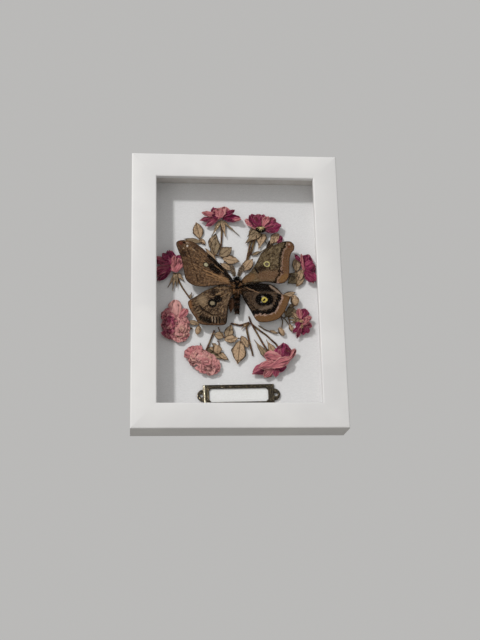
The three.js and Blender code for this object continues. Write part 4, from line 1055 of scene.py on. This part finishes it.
wing_finish = {
    "forewing_left": wing_scales(
        "silk_moth_scales_left_forewing", (-2, 8), ("#30211A", "#67503C", "#947252"), [
            # The browned margin, the dusky tip and the front edge
            ("margin", 3, 4.5, 2, "#4E382B", 0.5), ((-53.7, 39.8), 0, 3.5, 2, "#2A1B14", 0.8),
            ((-46.4, 53.1, -30, 41), 0, 1.2, 0.8, "#4A3426", 0.7),
            # Black along the front edge and beside the eyespot
            ((-27.2, 37.5, -17, 27.2), 0, 2.2, 0.9, BLACK, 0.95),
            ((-17, 27.2, -5, 10.7), 0, 2.3, 0.9, BLACK, 0.95),
            ((-25.5, 28.5, -28.2, 33.6), 0, 2.2, 2, UMBER, 0.75),
            ((-24.5, 26, -18.5, 21.4), 0, 3.6, 1.2, BLACK, 0.96),
            # Veins
            ((-21.6, 27.6, -12.9, 20.4), 0, 0.45, 0.35, "#86684A", 0.8),
            *alike((0, 0.5, 0.5, "#A07A54", 0.8), (-33.4, 22.6, -8.1, 12.6), (-30.4, 17.5, -8.1, 9.9)),
            ((-24, 18, -7, 10.6), 0, 0.4, 0.4, "#B08A62", 0.8),
            ((-22, 12, -6, 8.6), 0, 0.4, 0.4, "#A07A54", 0.8),
            # The crooked dark line across the wing
            ((-49.6, 44.8, -46.3, 36.6), 0, 0.6, 0.5, UMBER, 0.8),
            *alike((0, 0.6, 0.5, UMBER, 0.7), (-46.3, 36.6, -45.1, 30.1), (-45.1, 30.1, -42.9, 24)),
            ((-40.7, 17.1, -39.1, 9.6), 0, 0.7, 0.5, UMBER, 0.85),
            # The reddish tip with its black dot and its small pale marks
            ((-56.2, 51.3), 0, 2, 1.2, "#6A3226", 0.7), ((-53.3, 51.9), 0, 1, 0.5, BLACK, 0.95),
            ((-50.4, 51.4, -48.2, 51.2), 0, 0.5, 0.4, "#A89A8A", 0.8),
            ((-49.6, 48.1), 0, 0.9, 0.4, "#E0D8CE", 0.95), ((-53.3, 45.9), 0, 0.6, 0.3, "#C8B89A", 0.8),
            ((-44.5, 45.4, -41.8, 43.2), 0, 0.4, 0.4, "#B29C80", 0.7),
            # The pale eyespot in its dark ring
            (LEFT_SPOT, 2.5, 0.6, 0.3, SOOT, 0.9), (LEFT_SPOT, 0, 2, 0.5, "#B5AE90")]),
    "forewing_right": wing_scales(
        "silk_moth_scales_right_forewing", (4, 9), ("#33281D", "#665641", "#8C7C60"), [
            # The front edge, and warm browns along the hind edge and the root
            ("lead", 1.2, 0.4, 0.3, UMBER, 0.5), ((27, 17, 44, 17.5), 0, 5.5, 3, "#745742", 0.75),
            ((6, 10, 16.6, 15.5), 0, 3.6, 2.5, "#7C5C3E", 0.75), ((11.5, 11), 0, 0.8, 0.5, "#4A2C1C", 0.8),
            # Dark patches along the hind edge and round the eyespot
            ((12, 7.8, 41.2, 9), 0, 2, 1, SOOT, 0.9), ((24.5, 23.8, 29.5, 26.2), 0, 3, 2.2, "#261A13", 0.9),
            ((19.9, 24.3, 22.9, 20), 0, 0.9, 0.4, BLACK, 0.95), (CRESCENT, 2.6, 0.45, 0.35, UMBER, 0.85),
            # The broad brown margin, its pale line, partly a painted highlight on the curl's inner edge, and
            # its black line
            ("margin", 3, 5, 0.8, "#6C4E38", 0.9), ("margin", 7.8, 0.7, 0.5, "#9A7C6C", 0.85),
            ("margin", 10, 1.1, 0.6, SOOT, 0.9), ((46, 13, 51, 16), 0, 2.6, 2, "#8C693F", 0.6),
            # The tip with its pale spot, partly painted highlight, its reddish spot, and a dark spot on the
            # margin
            ((55.8, 51.2), 0, 1, 0.8, "#C4A294", 0.8), ((55.4, 48.4), 0, 1.2, 0.8, "#6A3226", 0.7),
            ((47.5, 20.8), 0, 1.4, 0.6, "#33201A", 0.85),
            # The clear eyespot in its yellow ring
            (RIGHT_RING, 2.5, 0.55, 0.3, "#C8BE7E"), (RIGHT_RING, 0, 1.9, 0.3, "#6A5F50")]),
    "hindwing_left": wing_scales(
        "silk_moth_scales_left_hindwing", (-2, 1), ("#1B130E", "#594637", "#9E8465"), [
            # A pale and a dark cloud, and the brown margin
            ((-34.8, -9.3), 0, 4.6, 3.2, "#A48D70", 0.6), ((-22.9, -0.4), 0, 4, 2.5, "#1C130E", 0.85),
            ("margin", 1, 1.8, 1, "#70503A", 0.6),
            # The dark line inside the margin, and the sooty corner behind it
            *alike((0, 1.1, 0.8, SOOT, 0.9), (-37.2, -15.4, -34.5, -19.6), (-34.5, -19.6, -25, -25)),
            ((-25, -25, -13, -25.5), 0, 0.7, 0.6, SOOT, 0.6),
            ((-36, -28.5, -28, -32), 0, 3, 1.8, BLACK, 0.85),
            ((-28, -31.5, -14, -31), 0, 3.4, 2.5, SOOT, 0.5),
            ((-48, -11, -47, -17), 0, 2, 1.5, "#875E3E", 0.8),
            # Pale and black streaks between the veins of the hind edge
            *alike((0, 0.5, 0.3, "#A08C78", 0.85), (-25.3, -27, -24.8, -32), (-22.4, -26, -22.2, -33)),
            ((-27.1, -28, -27, -34), 0, 0.6, 0.3, BLACK, 0.85),
            ((-23.7, -27, -23.5, -34), 0, 0.6, 0.3, BLACK, 0.9),
            *alike((0, 0.6, 0.3, BLACK, 0.85), (-20.9, -27, -20.7, -34), (-17.9, -27, -17.6, -34)),
            # The black inner edge
            ((-8.4, -15.2, -11, -34.1), 0, 0.9, 0.5, BLACK, 0.9),
            ((-2, -2, -8.4, -15.2), 0, 1.1, 0.6, BLACK, 0.9),
            # Veins
            ((-20.5, -3.4, -13.7, 0), 0, 0.6, 0.4, "#A08260", 0.85),
            ((-7.7, -3.7, -2.3, 2.7), 0, 0.5, 0.4, "#A89070", 0.85),
            *alike((0, 0.4, 0.4, "#97795A", 0.8), (-17, -6, -3, 1), (-22, 3.4, -6, 3.6)),
            ((-12, -14, -4, -2), 0, 0.4, 0.4, "#8A7058", 0.8),
            # The eyespot: two black rounds that overlap, and a pale middle
            ((-19, -8.1), 0, 4.2, 0.9, BLACK, 0.97), (LEFT_EYE, 0, 4.7, 0.6, BLACK),
            (LEFT_EYE, 0, 2.3, 0.6, "#93866D")]),
    "hindwing_right": wing_scales(
        "silk_moth_scales_right_hindwing", (3, 1), ("#1A120D", "#43352A", "#705A46"), [
            # A greyer brown round the eyespot, and the black front, root and inner edge
            (RIGHT_EYE, 9.8, 2, 1.2, "#5A4A3D", 0.5), ((35, -15, 24, -19.5), 0, 1.6, 1.4, "#7A6A5C", 0.75),
            ((12, 4.5, 37, 4.6), 0, 4.6, 2, BLACK, 0.96), ((4.6, -2.6, 9.4, -11), 0, 2.2, 0.8, BLACK, 0.95),
            ((9.4, -11, 17, -26), 0, 1, 0.6, BLACK, 0.9),
            # The black band, the broad tan margin and the pale line between them
            ("margin", 10.2, 2.6, 0.6, BLACK, 0.97), ("margin", 3, 4.2, 0.7, "#755538", 0.92),
            ("margin", 7.6, 0.7, 0.4, "#AD9080", 0.9),
            # Pale veins in the black front
            ((34.9, 6, 44, -1.1), 0, 1.1, 0.8, "#A08A78", 0.8),
            ((6.6, 5.5, 22.9, -0.9), 0, 0.6, 0.4, "#8A6C52", 0.9),
            # The eyespot: a long black round, bluish grey scales, and a yellow ring with a dark pupil
            ((25.6, -8.4, 31.4, -8.4), 0, 6.4, 0.8, BLACK), ((26.6, -5.4), 0, 1.2, 0.5, "#8A8278", 0.8),
            ((25.4, -11), 0, 1, 0.5, "#8A8278", 0.7), (RIGHT_IRIS, 2.1, 0.85, 0.35, "#CDBB60"),
            ((27.9, -9.4), 0, 1.2, 0.4, "#3A3020")]),
}

# %% [markdown]
# A wing's rim runs from its root round the tip and back. Its CAD node has the same outline, with straight
# stretches. The points are the places where the real rim turns, so few are enough once a spline rounds
# them. Margin and lead say between which points of the rim the outer and the front edge run, and base and
# tip give the wing's height above the board.

# %% Places of the wings
wings = {
    "forewing_left": {
        "hub": (-34, 26), "base": 11.2, "tip": 12.6, "margin_ends": (7, 14), "lead_ends": (0, 7),
        "rim": [(-2.4, 9.6), (-9, 20.7), (-21, 33.7), (-29.1, 41.2), (-36.2, 47.7), (-44.4, 53),
                (-53.6, 54.4), (-59.4, 53), (-61, 49.6), (-58.8, 42.6), (-55.4, 33), (-53.6, 23),
                (-52.4, 14.8), (-49.6, 9.4), (-43, 5.4), (-34, 4), (-25, 5.2), (-14, 6.4), (-5, 6.6)]},
    "forewing_right": {
        "hub": (38, 28), "base": 11.2, "tip": 12.4, "margin_ends": (6, 13), "lead_ends": (14, 23),
        "rim": [(4, 7), (12, 6.8), (20.5, 8), (29.8, 10.2), (38, 8.7), (44.4, 8.2), (50, 9.6), (53.8, 15),
                (55, 22), (55.6, 33.5), (57.3, 41), (60.4, 45), (60.8, 50.2), (57.6, 54), (53, 54.6),
                (47.4, 53.4), (38.8, 49.8), (32.2, 46.2), (26.6, 41.4), (22, 32.6), (18.6, 26.4),
                (14.6, 20.6), (7.6, 14.6)]},
    "hindwing_left": {
        "hub": (-26, -16), "base": 9.6, "tip": 10.2, "margin_ends": (5, 14), "lead_ends": (0, 5),
        "rim": [(-1.6, 1), (-9, 6.2), (-18.5, 6.2), (-31, 1), (-40.4, -5.2), (-48, -10.2), (-49.4, -13),
                (-48.1, -18), (-46.1, -22.2), (-42.1, -28.5), (-39.2, -33.7), (-34.2, -35.8),
                (-25, -36.2), (-15.4, -36), (-11, -34.2), (-9.8, -28), (-8.6, -18.7), (-7, -9),
                (-4, -3)]},
    "hindwing_right": {
        "hub": (30, -12), "base": 9.6, "tip": 10.2, "margin_ends": (6, 14), "lead_ends": (14, 19),
        "rim": [(2.6, 1), (4.6, -2.6), (7, -8), (11.3, -15.4), (14.7, -21.7), (18.5, -29.1),
                (22.6, -32.2), (29.6, -32.6), (36.8, -31.2), (42.5, -28.8), (47.3, -23.6), (50.6, -17.2),
                (53.9, -9.7), (54.2, -5.4), (47.4, -2.6), (43, 3), (35, 8), (20, 8.8), (8, 6.8)]},
}
print(len(wings), "wings with", sum(len(shape["rim"]) for shape in wings.values()), "points on their rims")

# %% [markdown]
# No primitive has the rim of a wing, and a plane cut to it would have no points inside to belly. So the
# rim is rounded by a spline and repeated in rings that close on a hub, as threads do in a web. Each point
# sinks a little between hub and rim, and carries its distance from the edges for the markings.

# %% Wings
RIM_STEPS = 5
RINGS = 18
WING_BELLY = 2.0
WING_THICK = 0.35


def rounded(points):
    """A closed smooth line through the points, as a Catmull-Rom spline."""
    loop = []
    for i in range(len(points)):
        a, b, c, d = (Vector(points[(i + k) % len(points)]) for k in (-1, 0, 1, 2))
        for step in range(RIM_STEPS):
            t = step / RIM_STEPS
            loop.append((2 * b + (c - a) * t + (2 * a - 5 * b + 4 * c - d) * t * t
                         + (3 * b - a - 3 * c + d) * t ** 3) / 2)
    return loop


def nearest(point, line):
    """Distance from a point to the nearest stretch of a line of points."""
    best = math.inf
    for start, end in zip(line, line[1:]):
        run = end - start
        share = max(0.0, min(1.0, (point - start).dot(run) / run.length_squared))
        best = min(best, (point - start - run * share).length)
    return best


def wing_height(at, share, shape, reach):
    """Height of a place on the wing. Share is 0 at the hub and 1 at the rim."""
    out = abs(at.x) / reach
    belly = WING_BELLY * share * (1 - share)
    ripple = 0.3 * noise.noise(Vector((at.x * 0.12, at.y * 0.12, 2.0))) * share
    return shape["base"] + (shape["tip"] - shape["base"]) * out * out - belly + ripple


def ring_faces(count):
    """A fan of triangles round the hub, and a band of four-sided faces between each ring and the next."""
    faces = [(0, 1 + i, 1 + (i + 1) % count) for i in range(count)]
    for first in range(1, 1 + (RINGS - 1) * count, count):
        for i in range(count):
            j = (i + 1) % count
            faces.append((first + i, first + count + i, first + count + j, first + j))
    return faces


def wing(name, shape):
    rim = rounded(shape["rim"])
    count = len(rim)
    hub = Vector(shape["hub"])
    reach = max(abs(point.x) for point in rim)
    flat = [hub] + [hub + (point - hub) * (ring / RINGS) for ring in range(1, RINGS + 1) for point in rim]
    shares = [0] + [ring / RINGS for ring in range(1, RINGS + 1) for _ in rim]
    points = [above(at.x, at.y, wing_height(at, share, shape, reach)) for at, share in zip(flat, shares)]
    mesh = bpy.data.meshes.new(name)
    mesh.from_pydata(points, [], ring_faces(count))
    edges = {"rim": rim + rim[:1]}
    for key in ("margin", "lead"):
        start, end = shape[key + "_ends"]
        edges[key] = edges["rim"][start * RIM_STEPS:(end - 1) * RIM_STEPS + 1]
    for key, line in edges.items():
        carry(mesh, **{key: [nearest(at, line) for at in flat]})
    whole = joined([placed(name, mesh)], WING_THICK)
    dress(whole, wing_finish[name])
    return made(whole, name + "_scaled", "moth_wing", name)


for name, shape in wings.items():
    wing(name, shape)

# %% [markdown]
# The moth is thickly furred in black, brown and tan. Particle hair would be the quick way, but it isn't a
# mesh and wouldn't leave the scene. So a hair is one narrow triangle, which keeps thousands of them
# light, and it carries its tone. Real hair is 0.03 mm thick, too fine to show, so it is drawn about eight
# times as wide.

# %% Coat of hairs
chance = random.Random(11)
COAT_WIDTH = 0.22
TUFT_WIDTH = 0.26


def moth_hair():
    """Dry fur: hardly any shine, from black over brown to tan by its tone, with dark flecks of 0.6 mm."""
    material, tree, shader = finish("moth_body_hair", "#4A3222", 0.8, Specular_IOR_Level=0.05)
    tone = add_node(tree, "Attribute", attribute_name="tone").outputs["Fac"]
    hue = laid(tree, "#0C0806", "#4A3223", tone, (0.0, 0.5))
    hue = laid(tree, hue, "#A87C54", tone, (0.5, 1.0))
    hue = laid(tree, hue, "#140D09", grain(tree, 0.6), (0.4, 0.7), (0, 0.4))
    surface(tree, shader, hue, grain(tree, 0.3), 0.5, 0.2)
    return material


def coat(hairs, width, material):
    """Hairs as narrow triangles. Each is a root, a direction with its length in mm, and a tone."""
    points, faces, tones = [], [], []
    for root, lean, tone in hairs:
        across = lean.cross(Vector((0, -1, 0.2))).normalized() * width * MM / 2
        first = len(points)
        points += [root - across, root + across, root + lean * MM]
        faces.append((first, first + 1, first + 2))
        tones += [tone] * 3
    mesh = bpy.data.meshes.new("coat")
    mesh.from_pydata(points, [], faces)
    carry(mesh, tone=tones)
    piece = placed("coat", mesh)
    dress(piece, material)
    print("coat of", len(hairs), "hairs")
    return piece


hair_finish = moth_hair()

# %% [markdown]
# Under the fur are a head, a thickset thorax and an abdomen of eight rings, each smaller than the last.
# One smooth shape could stand for all, but the rings show through the thin fur of the abdomen. So the
# body is round pieces that overlap, joined to one.

# %% Body
BODY_X = 0.5
THORAX = (BODY_X, 5, 6.6, 4.4, 7.8, 5.7)
HEAD = (BODY_X, 13.2, 6.6, 2.5, 2.8, 2.9)
ABDOMEN_RINGS = 8
RING_STEP = 2.7


def abdomen_ring(i):
    return (BODY_X, -1 - RING_STEP * i, 5.2, 3.6 - 0.13 * i, 2.2, 3.6 - 0.15 * i)


def body():
    pieces = [lump(THORAX, 0, 0.05), lump(HEAD, 0, 0.0)]
    pieces += [lump(abdomen_ring(i), 0, 0.02) for i in range(ABDOMEN_RINGS)]
    whole = joined(pieces)
    dress(whole, hair_finish)
    return made(whole, "moth_body_shape", "moth_fur", "moth_body")


body()

# %% [markdown]
# The body's own fur stands out short and dense and lies back towards the tail, with tan hairs where
# thorax and abdomen meet. Long hair spills over the wing roots: black, with a few tan tufts in it. Every
# hair could be combed by hand, but thousands can't, so each is drawn by chance within what its place
# allows, from one seed.

# %% Fur of the moth
COAT_HAIRS = 3600
WAIST = -2
NECK = 10.5


def body_radius(z):
    """Half width of the body at a height z on the board."""
    if z > NECK:
        return 2.6
    if z > WAIST:
        return 5.0 * math.sqrt(max(0.25, 1 - ((z - 5) / 8.6) ** 2))
    return 3.7 + 0.1 * z


def body_hairs():
    hairs = []
    for _ in range(COAT_HAIRS):
        turn = chance.uniform(-1.35, 1.35)
        z = chance.uniform(-22.5, 15.5)
        radius = body_radius(z)
        lift, arch = (6.6, 1.1) if z > WAIST else (5.2, 1)
        root = above(BODY_X + radius * math.sin(turn), z, lift + radius * math.cos(turn) * arch)
        outward = Vector((math.sin(turn), -math.cos(turn), 0))
        lean = (outward * 0.55 + Vector((0, 0, -1 if z < 11 else 0.6)) * chance.uniform(0.7, 1.2)
                + Vector((chance.uniform(-0.3, 0.3), 0, chance.uniform(-0.2, 0.2))))
        tufted = abs(turn - 0.15) < 0.7 and -5 < z < 3
        tone = chance.uniform(0.5, 0.9) if tufted and chance.random() < 0.4 else chance.uniform(0.0, 0.12)
        if z < -8 and int(-z / RING_STEP) % 2:
            tone += 0.25
        hairs.append((root, lean * chance.uniform(1.4, 2.8), tone))
    return hairs


def tuft(root, turn, fan_out, count, reach, tone):
    """Long hair from one root on the moth's back. Turn is its direction on the board, in degrees."""
    hairs = []
    for _ in range(count):
        angle = math.radians(turn + chance.gauss(0, fan_out))
        lean = Vector((math.cos(angle), -chance.uniform(0.02, 0.12), math.sin(angle)))
        at = above(root[0] + chance.gauss(0, 0.5), root[1] + chance.gauss(0, 0.5), root[2])
        hairs.append((at, lean * reach * chance.uniform(0.35, 1), tone - chance.uniform(0, 0.2)))
    return hairs


# %% [markdown]
# The tufts sit on the thorax: black ones all round both wing roots, tan ones where the real ones show
# over the wings, tan and black by turns towards the abdomen, and a few short tan ones on the back.

# %% Tufts
ROOT_TUFTS = ((150, 13), (163, 17), (174, 13), (187, 12), (199, 15), (214, 17), (229, 11), (-24, 15),
              (-34, 8), (16, 6), (38, 8))
TAIL_TUFTS = ((-2, 1.0), (-1.2, 0.1), (-0.4, 0.9), (0.5, 0.15), (1.3, 1.0), (2.1, 0.1), (2.9, 0.9))
BACK_TUFTS = ((-2.6, 8.6), (3.4, 8.4), (0.4, 10.2), (2.2, 5.4), (-1.8, 4.8))
FLAP = (-4.4, -6, -6, -22.5, 5.8, 7.2, 6.2)


def on_thorax(turn, out, rise, high, low):
    """A root round the thorax, higher on the side towards the head."""
    up = math.sin(math.radians(turn))
    return BODY_X + out * math.cos(math.radians(turn)), 4.5 + rise * up, high if up > -0.2 else low


def back_hairs():
    hairs = []
    for side in (0, 180):
        for _ in range(26):
            turn = side + chance.uniform(-62, 62)
            hairs += tuft(on_thorax(turn, 3.4, 4, 12.4, 11.4), turn, 4, 34, chance.uniform(3.5, 7.5), 0.12)
    for turn, reach in ROOT_TUFTS:
        hairs += tuft(on_thorax(turn, 3, 2.5, 12.7, 11.6), turn, 1.2, 5, reach, 0.8)
    for x, tone in TAIL_TUFTS:
        hairs += tuft((BODY_X + x - 0.4, 1.4, 12), -90 + 7 * x, 3, 12, 6.5, tone)
    for x, z in BACK_TUFTS:
        hairs += tuft((BODY_X + x, z, 12.7), 250 + 20 * x, 9, 6, 2.4, 0.9)
    return hairs


flap = joined([blade(leaf_blank, FLAP, leaf_edge, leaf_folds, 0.42, 2.2)], LEAF_THICK)
dress(flap, hair_finish)
fur = [coat(body_hairs(), COAT_WIDTH, hair_finish), coat(back_hairs(), TUFT_WIDTH, hair_finish), flap]
made(joined(fur), "moth_fur_coat", "moth_fur")

# %% [markdown]
# The antennae are feathers: a shaft with a comb of barbs on each side, longest in the middle. A leaf with
# a picture of barbs would look flat, so every barb is a hair of its own, two for each place, and a stem
# is the shaft. Real barbs are 0.1 mm thick, too fine to show, so they are drawn 1 mm wide at their root.

# %% Antennae
BARBS = 34
BARB_WIDTH = 1.0
LONGEST_BARB = 3.3
SHAFT = 0.32
FEELER_HEIGHT = 9.1


def antenna_chitin():
    """Bare horny chitin: dull greyish brown, in light and dark bands of 0.9 mm."""
    material, tree, shader = finish("moth_antenna_chitin", "#6B5C4C", 0.7, Specular_IOR_Level=0.15)
    band = add_node(tree, "MapRange", {0: grain(tree, 0.9), 1: 0.4, 2: 0.62}, **SOFTLY)
    surface(tree, shader, laid(tree, "#332820", "#7C6A56", band), band, 0.3, 0.2)
    return material


def antenna(name, base, tip):
    barbs = []
    shaft = Vector(tip) - Vector(base)
    aside = Vector((shaft.y, -shaft.x)).normalized()
    for i in range(BARBS):
        along = i / (BARBS - 1)
        at = Vector(base) + shaft * along
        length = LONGEST_BARB * math.sin(math.pi * (0.12 + 0.8 * along)) ** 0.6
        root = above(at.x, at.y, FEELER_HEIGHT + 0.9 * along)
        for side in (-1, -1, 1, 1):
            swept = 0.4 + chance.uniform(-0.15, 0.15)
            lean = Vector((side * aside.x + swept * shaft.x / shaft.length, -0.12,
                           side * aside.y + swept * shaft.y / shaft.length))
            barbs.append((root, lean * length * chance.uniform(0.85, 1.1), 0.0))
    comb = coat(barbs, BARB_WIDTH, feather_finish)
    rod = stem([base, ((base[0] + tip[0]) / 2, (base[1] + tip[1]) / 2), tip], SHAFT, FEELER_HEIGHT)
    dress(rod, hair_finish)
    return made(joined([comb, rod]), name + "_feather", "moth_fur", name)


feather_finish = antenna_chitin()
antenna("antenna_left", (-1.6, 16.4), (-4.6, 28))
antenna("antenna_right", (2.8, 16.4), (7.4, 28))

# %% [markdown]
# One rose shows its middle: a dark disc with a fan of pale stamens. Thin tubes would be truer, but at
# this size a flat thread looks the same, so the stamens are made as the moth's hairs are. Real threads
# are 0.2 mm thick, and they are drawn 0.9 mm wide at their root so that they show.

# %% Stamens
THREADS = 10
THREAD_WIDTH = 0.9
DISC = (27.2, 69.4, 6.8, 5.4, 3.6, 1.1)


def dried_stamen():
    """Dried threads with old pollen on them: a dull straw yellow, paler in patches of 1.5 mm."""
    return two_tone("dried_stamen", ("#B09A60", "#DCCF9C"), 0.7, (1.5,), (0.35, 0.65), (0.4, 3, 0.3, 0.1))


def stamens():
    threads = []
    for i in range(THREADS):
        turn = math.radians(-170 + 160 * i / (THREADS - 1) + chance.uniform(-5, 5))
        root = above(DISC[0] + chance.uniform(-0.8, 0.8), 71.6, 8.0)
        lean = Vector((math.cos(turn), -0.25, math.sin(turn))) * chance.uniform(4.2, 6.4)
        threads.append((root, lean, chance.uniform(0.5, 1.0)))
    disc = lump(DISC, 0.05, 0.0)
    dress(disc, hair_finish)
    whole = joined([coat(threads, THREAD_WIDTH, dried_stamen()), disc])
    return made(whole, "rose_top_right_stamens", "petal_red")


stamens()

# %% [markdown]
# The label holder is stamped brass with an antique bronze finish, which is brown in the hollows and
# rubbed bright where hands touch it. At the left end a bead of pale brass is a painted highlight, where
# that ridge catches the light. One metal with a mask could carry both, but the bead is a piece of its
# own, so it gets its own finish. The card in its window is bare.

# %% Finish of the label
def antique_bronze():
    """Brown patina on brass: a dark half dull metal, with brighter rubbed patches 2.4 mm across."""
    return two_tone("antique_bronze_on_brass", ("#3E382F", "#8C7E63"), 0.42, (2.4, 4), (0.5, 0.68),
                    (0.5, 4, 0.35, 0.1), (0, 0.7), Metallic=0.85)


def highlit_brass_bead():
    """Brass at the left end: a pale soft shine, a painted highlight where its ridge catches the light, still
    stained in patches of 1.6 mm.
    """
    return two_tone("brass_bead_painted_highlight", ("#8D8264", "#E6DFC8"), 0.38, (1.6, 4), (0.4, 0.6),
                    (0.5, 4, 0.3, 0.1), Metallic=0.5)


def uncoated_card():
    """Uncoated card: a clean matt white. Its fibres are 0.02 mm thick, and are drawn as flecks of 0.5 mm."""
    return two_tone("uncoated_white_card", ("#EDEEEE", "#F6F8F8"), 0.85, (0.5, 4, (3, 1, 1)), (0.3, 0.7),
                    (0.3, 3, 0.2, 0.1), Specular_IOR_Level=0.2)


bronze = antique_bronze()
dress(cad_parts["label_card"], uncoated_card())
print("label finishes:", bronze.name, "and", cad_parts["label_card"].data.materials[0].name)

# %% [markdown]
# The real holder is one stamping, with round beads that stiffen it round its window and along its edges.
# They could be pressed into the plate with insets, but a bead is a round wire in all but name. So a copy
# of the CAD node carries the ears and holes, and curves with a round section are sunk into it as beads.

# %% Label holder
TILT = math.radians(1.1)
HOLDER_X = 0.8
HOLDER_Z = -106.3
HOLDER_FACE = 1.9
PLATE_EDGE = 0.2 * MM
BEAD = 0.6
WINDOW_LONG = 60.4
WINDOW_WIDE = 15
WINDOW_CORNER = 2.9


def on_label(x, z, h):
    """A place on the tilted label, in millimetres from its middle."""
    return above(HOLDER_X + x * math.cos(TILT) - z * math.sin(TILT),
                 HOLDER_Z + x * math.sin(TILT) + z * math.cos(TILT), h)


def bead(places, radius, material, closed=False):
    """A round bead along places (x, z) on the label, with their height above the board."""
    curve, line = round_curve("bead", "POLY", radius, len(places), 3)
    for point, place in zip(line.points, places):
        point.co = (*on_label(*place), 1)
    line.use_cyclic_u = closed
    piece = as_mesh(curve)
    dress(piece, material)
    return piece


def window_line():
    """Places round the window, with rounded corners."""
    places = []
    half_x = WINDOW_LONG / 2 - WINDOW_CORNER
    half_z = WINDOW_WIDE / 2 - WINDOW_CORNER
    for quarter, (side, rise) in enumerate(((1, 1), (-1, 1), (-1, -1), (1, -1))):
        for step in range(6):
            turn = math.pi / 2 * (quarter + step / 5)
            x = side * half_x + WINDOW_CORNER * math.cos(turn)
            z = rise * half_z + WINDOW_CORNER * math.sin(turn)
            places.append((x, z, HOLDER_FACE))
    return places


def plate():
    piece = merged_copy("label_holder")
    soft = piece.modifiers.new("soft edges", "BEVEL")
    soft.width = PLATE_EDGE
    soft.segments = 2
    soft.limit_method = "ANGLE"
    bpy.ops.object.modifier_apply(modifier="soft edges")
    dress(piece, bronze)
    return piece


def holder():
    low = HOLDER_FACE - 0.1
    pieces = [plate(), bead(window_line(), BEAD, bronze, True)]
    pieces += [bead([(-35, z, low), (35, z, low)], BEAD, bronze) for z in (10.1, -10.1)]
    pieces.append(bead([(34.4, -10, HOLDER_FACE), (34.4, 10, HOLDER_FACE)], 0.8, bronze))
    # The pale bead at the left end is a painted highlight on the ridge that catches the light.
    rubbed = [(-33.6, -10, HOLDER_FACE), (-34, -2, HOLDER_FACE), (-34.2, 10, HOLDER_FACE)]
    pieces.append(bead(rubbed, 1.1, highlit_brass_bead()))
    whole = joined(pieces)
    bpy.ops.object.shade_smooth_by_angle(angle=SHARP)
    return made(whole, "label_holder_bronze", "bronze", "label_holder")


holder()

# %% [markdown]
# The display is shown over a plain pale floor, under an even pale sky. A picture of a room could light
# it, but a flat sky and two lamps are simpler to match: a small strong one, up and to the left in front,
# throws the frame's own shadow on the board, and a weak broad one lifts the lower edge of the frame.

# %% Floor and light
FLOOR_Z = -0.75
MIDDLE = (cad_box[0] + cad_box[1]) / 2

bpy.ops.mesh.primitive_plane_add(size=8, location=(0, 0, FLOOR_Z))
floor = bpy.context.object
floor.name = "floor"
dress(floor, finish("plain_pale_floor", "#A5A39F", 0.8)[0])

world = bpy.data.worlds.new("even pale sky")
bpy.context.scene.world = world
world.use_nodes = True
sky = world.node_tree.nodes["Background"].inputs
sky["Color"].default_value = colour("#FDFCFA")
sky["Strength"].default_value = 0.5


def lamp(name, place, across, watts):
    """A square soft lamp aimed at the middle of the frame."""
    light = placed(name, bpy.data.lights.new(name, "AREA"))
    light.data.size = across
    light.data.energy = watts
    light.data.color = (1.0, 0.985, 0.965)
    light.location = place
    light.rotation_euler = (MIDDLE - Vector(place)).to_track_quat("-Z", "Y").to_euler()
    print(name, "gives", watts, "W")


lamp("key_lamp", (-2.09, -2.79, 1.74), 0.3, 76)
lamp("low_fill", (-1.1, -1.2, -0.55), 0.6, 1.6)

# %% [markdown]
# The viewer stands close, a little to the left and well below the middle, and looks up. A camera could be
# aimed by an empty, but the frame's four outer corners fix it fully: its place, where it looks, and which
# way is up.

# %% Camera
camera = placed("camera", bpy.data.cameras.new("camera"))
bpy.context.scene.camera = camera
camera.data.sensor_width = 36
camera.data.lens = 61.875
camera.data.clip_start = 0.01
place = Vector((-0.1039, -1.0731, -0.50215))
forward = Vector((0.0963, 0.9483, 0.3024)).normalized()
right = forward.cross(Vector((-0.0062, -0.3032, 0.9529))).normalized()
up = right.cross(forward)
camera.matrix_world = Matrix.LocRotScale(place, Matrix((right, up, -forward)).transposed(), None)
bpy.context.scene.view_settings.view_transform = "Standard"
print("the camera is", round((MIDDLE - place).length, 2), "m from the display")

# %% [markdown]
# Last, the view layer is brought up to date.

# %% Update the scene
bpy.context.view_layer.update()
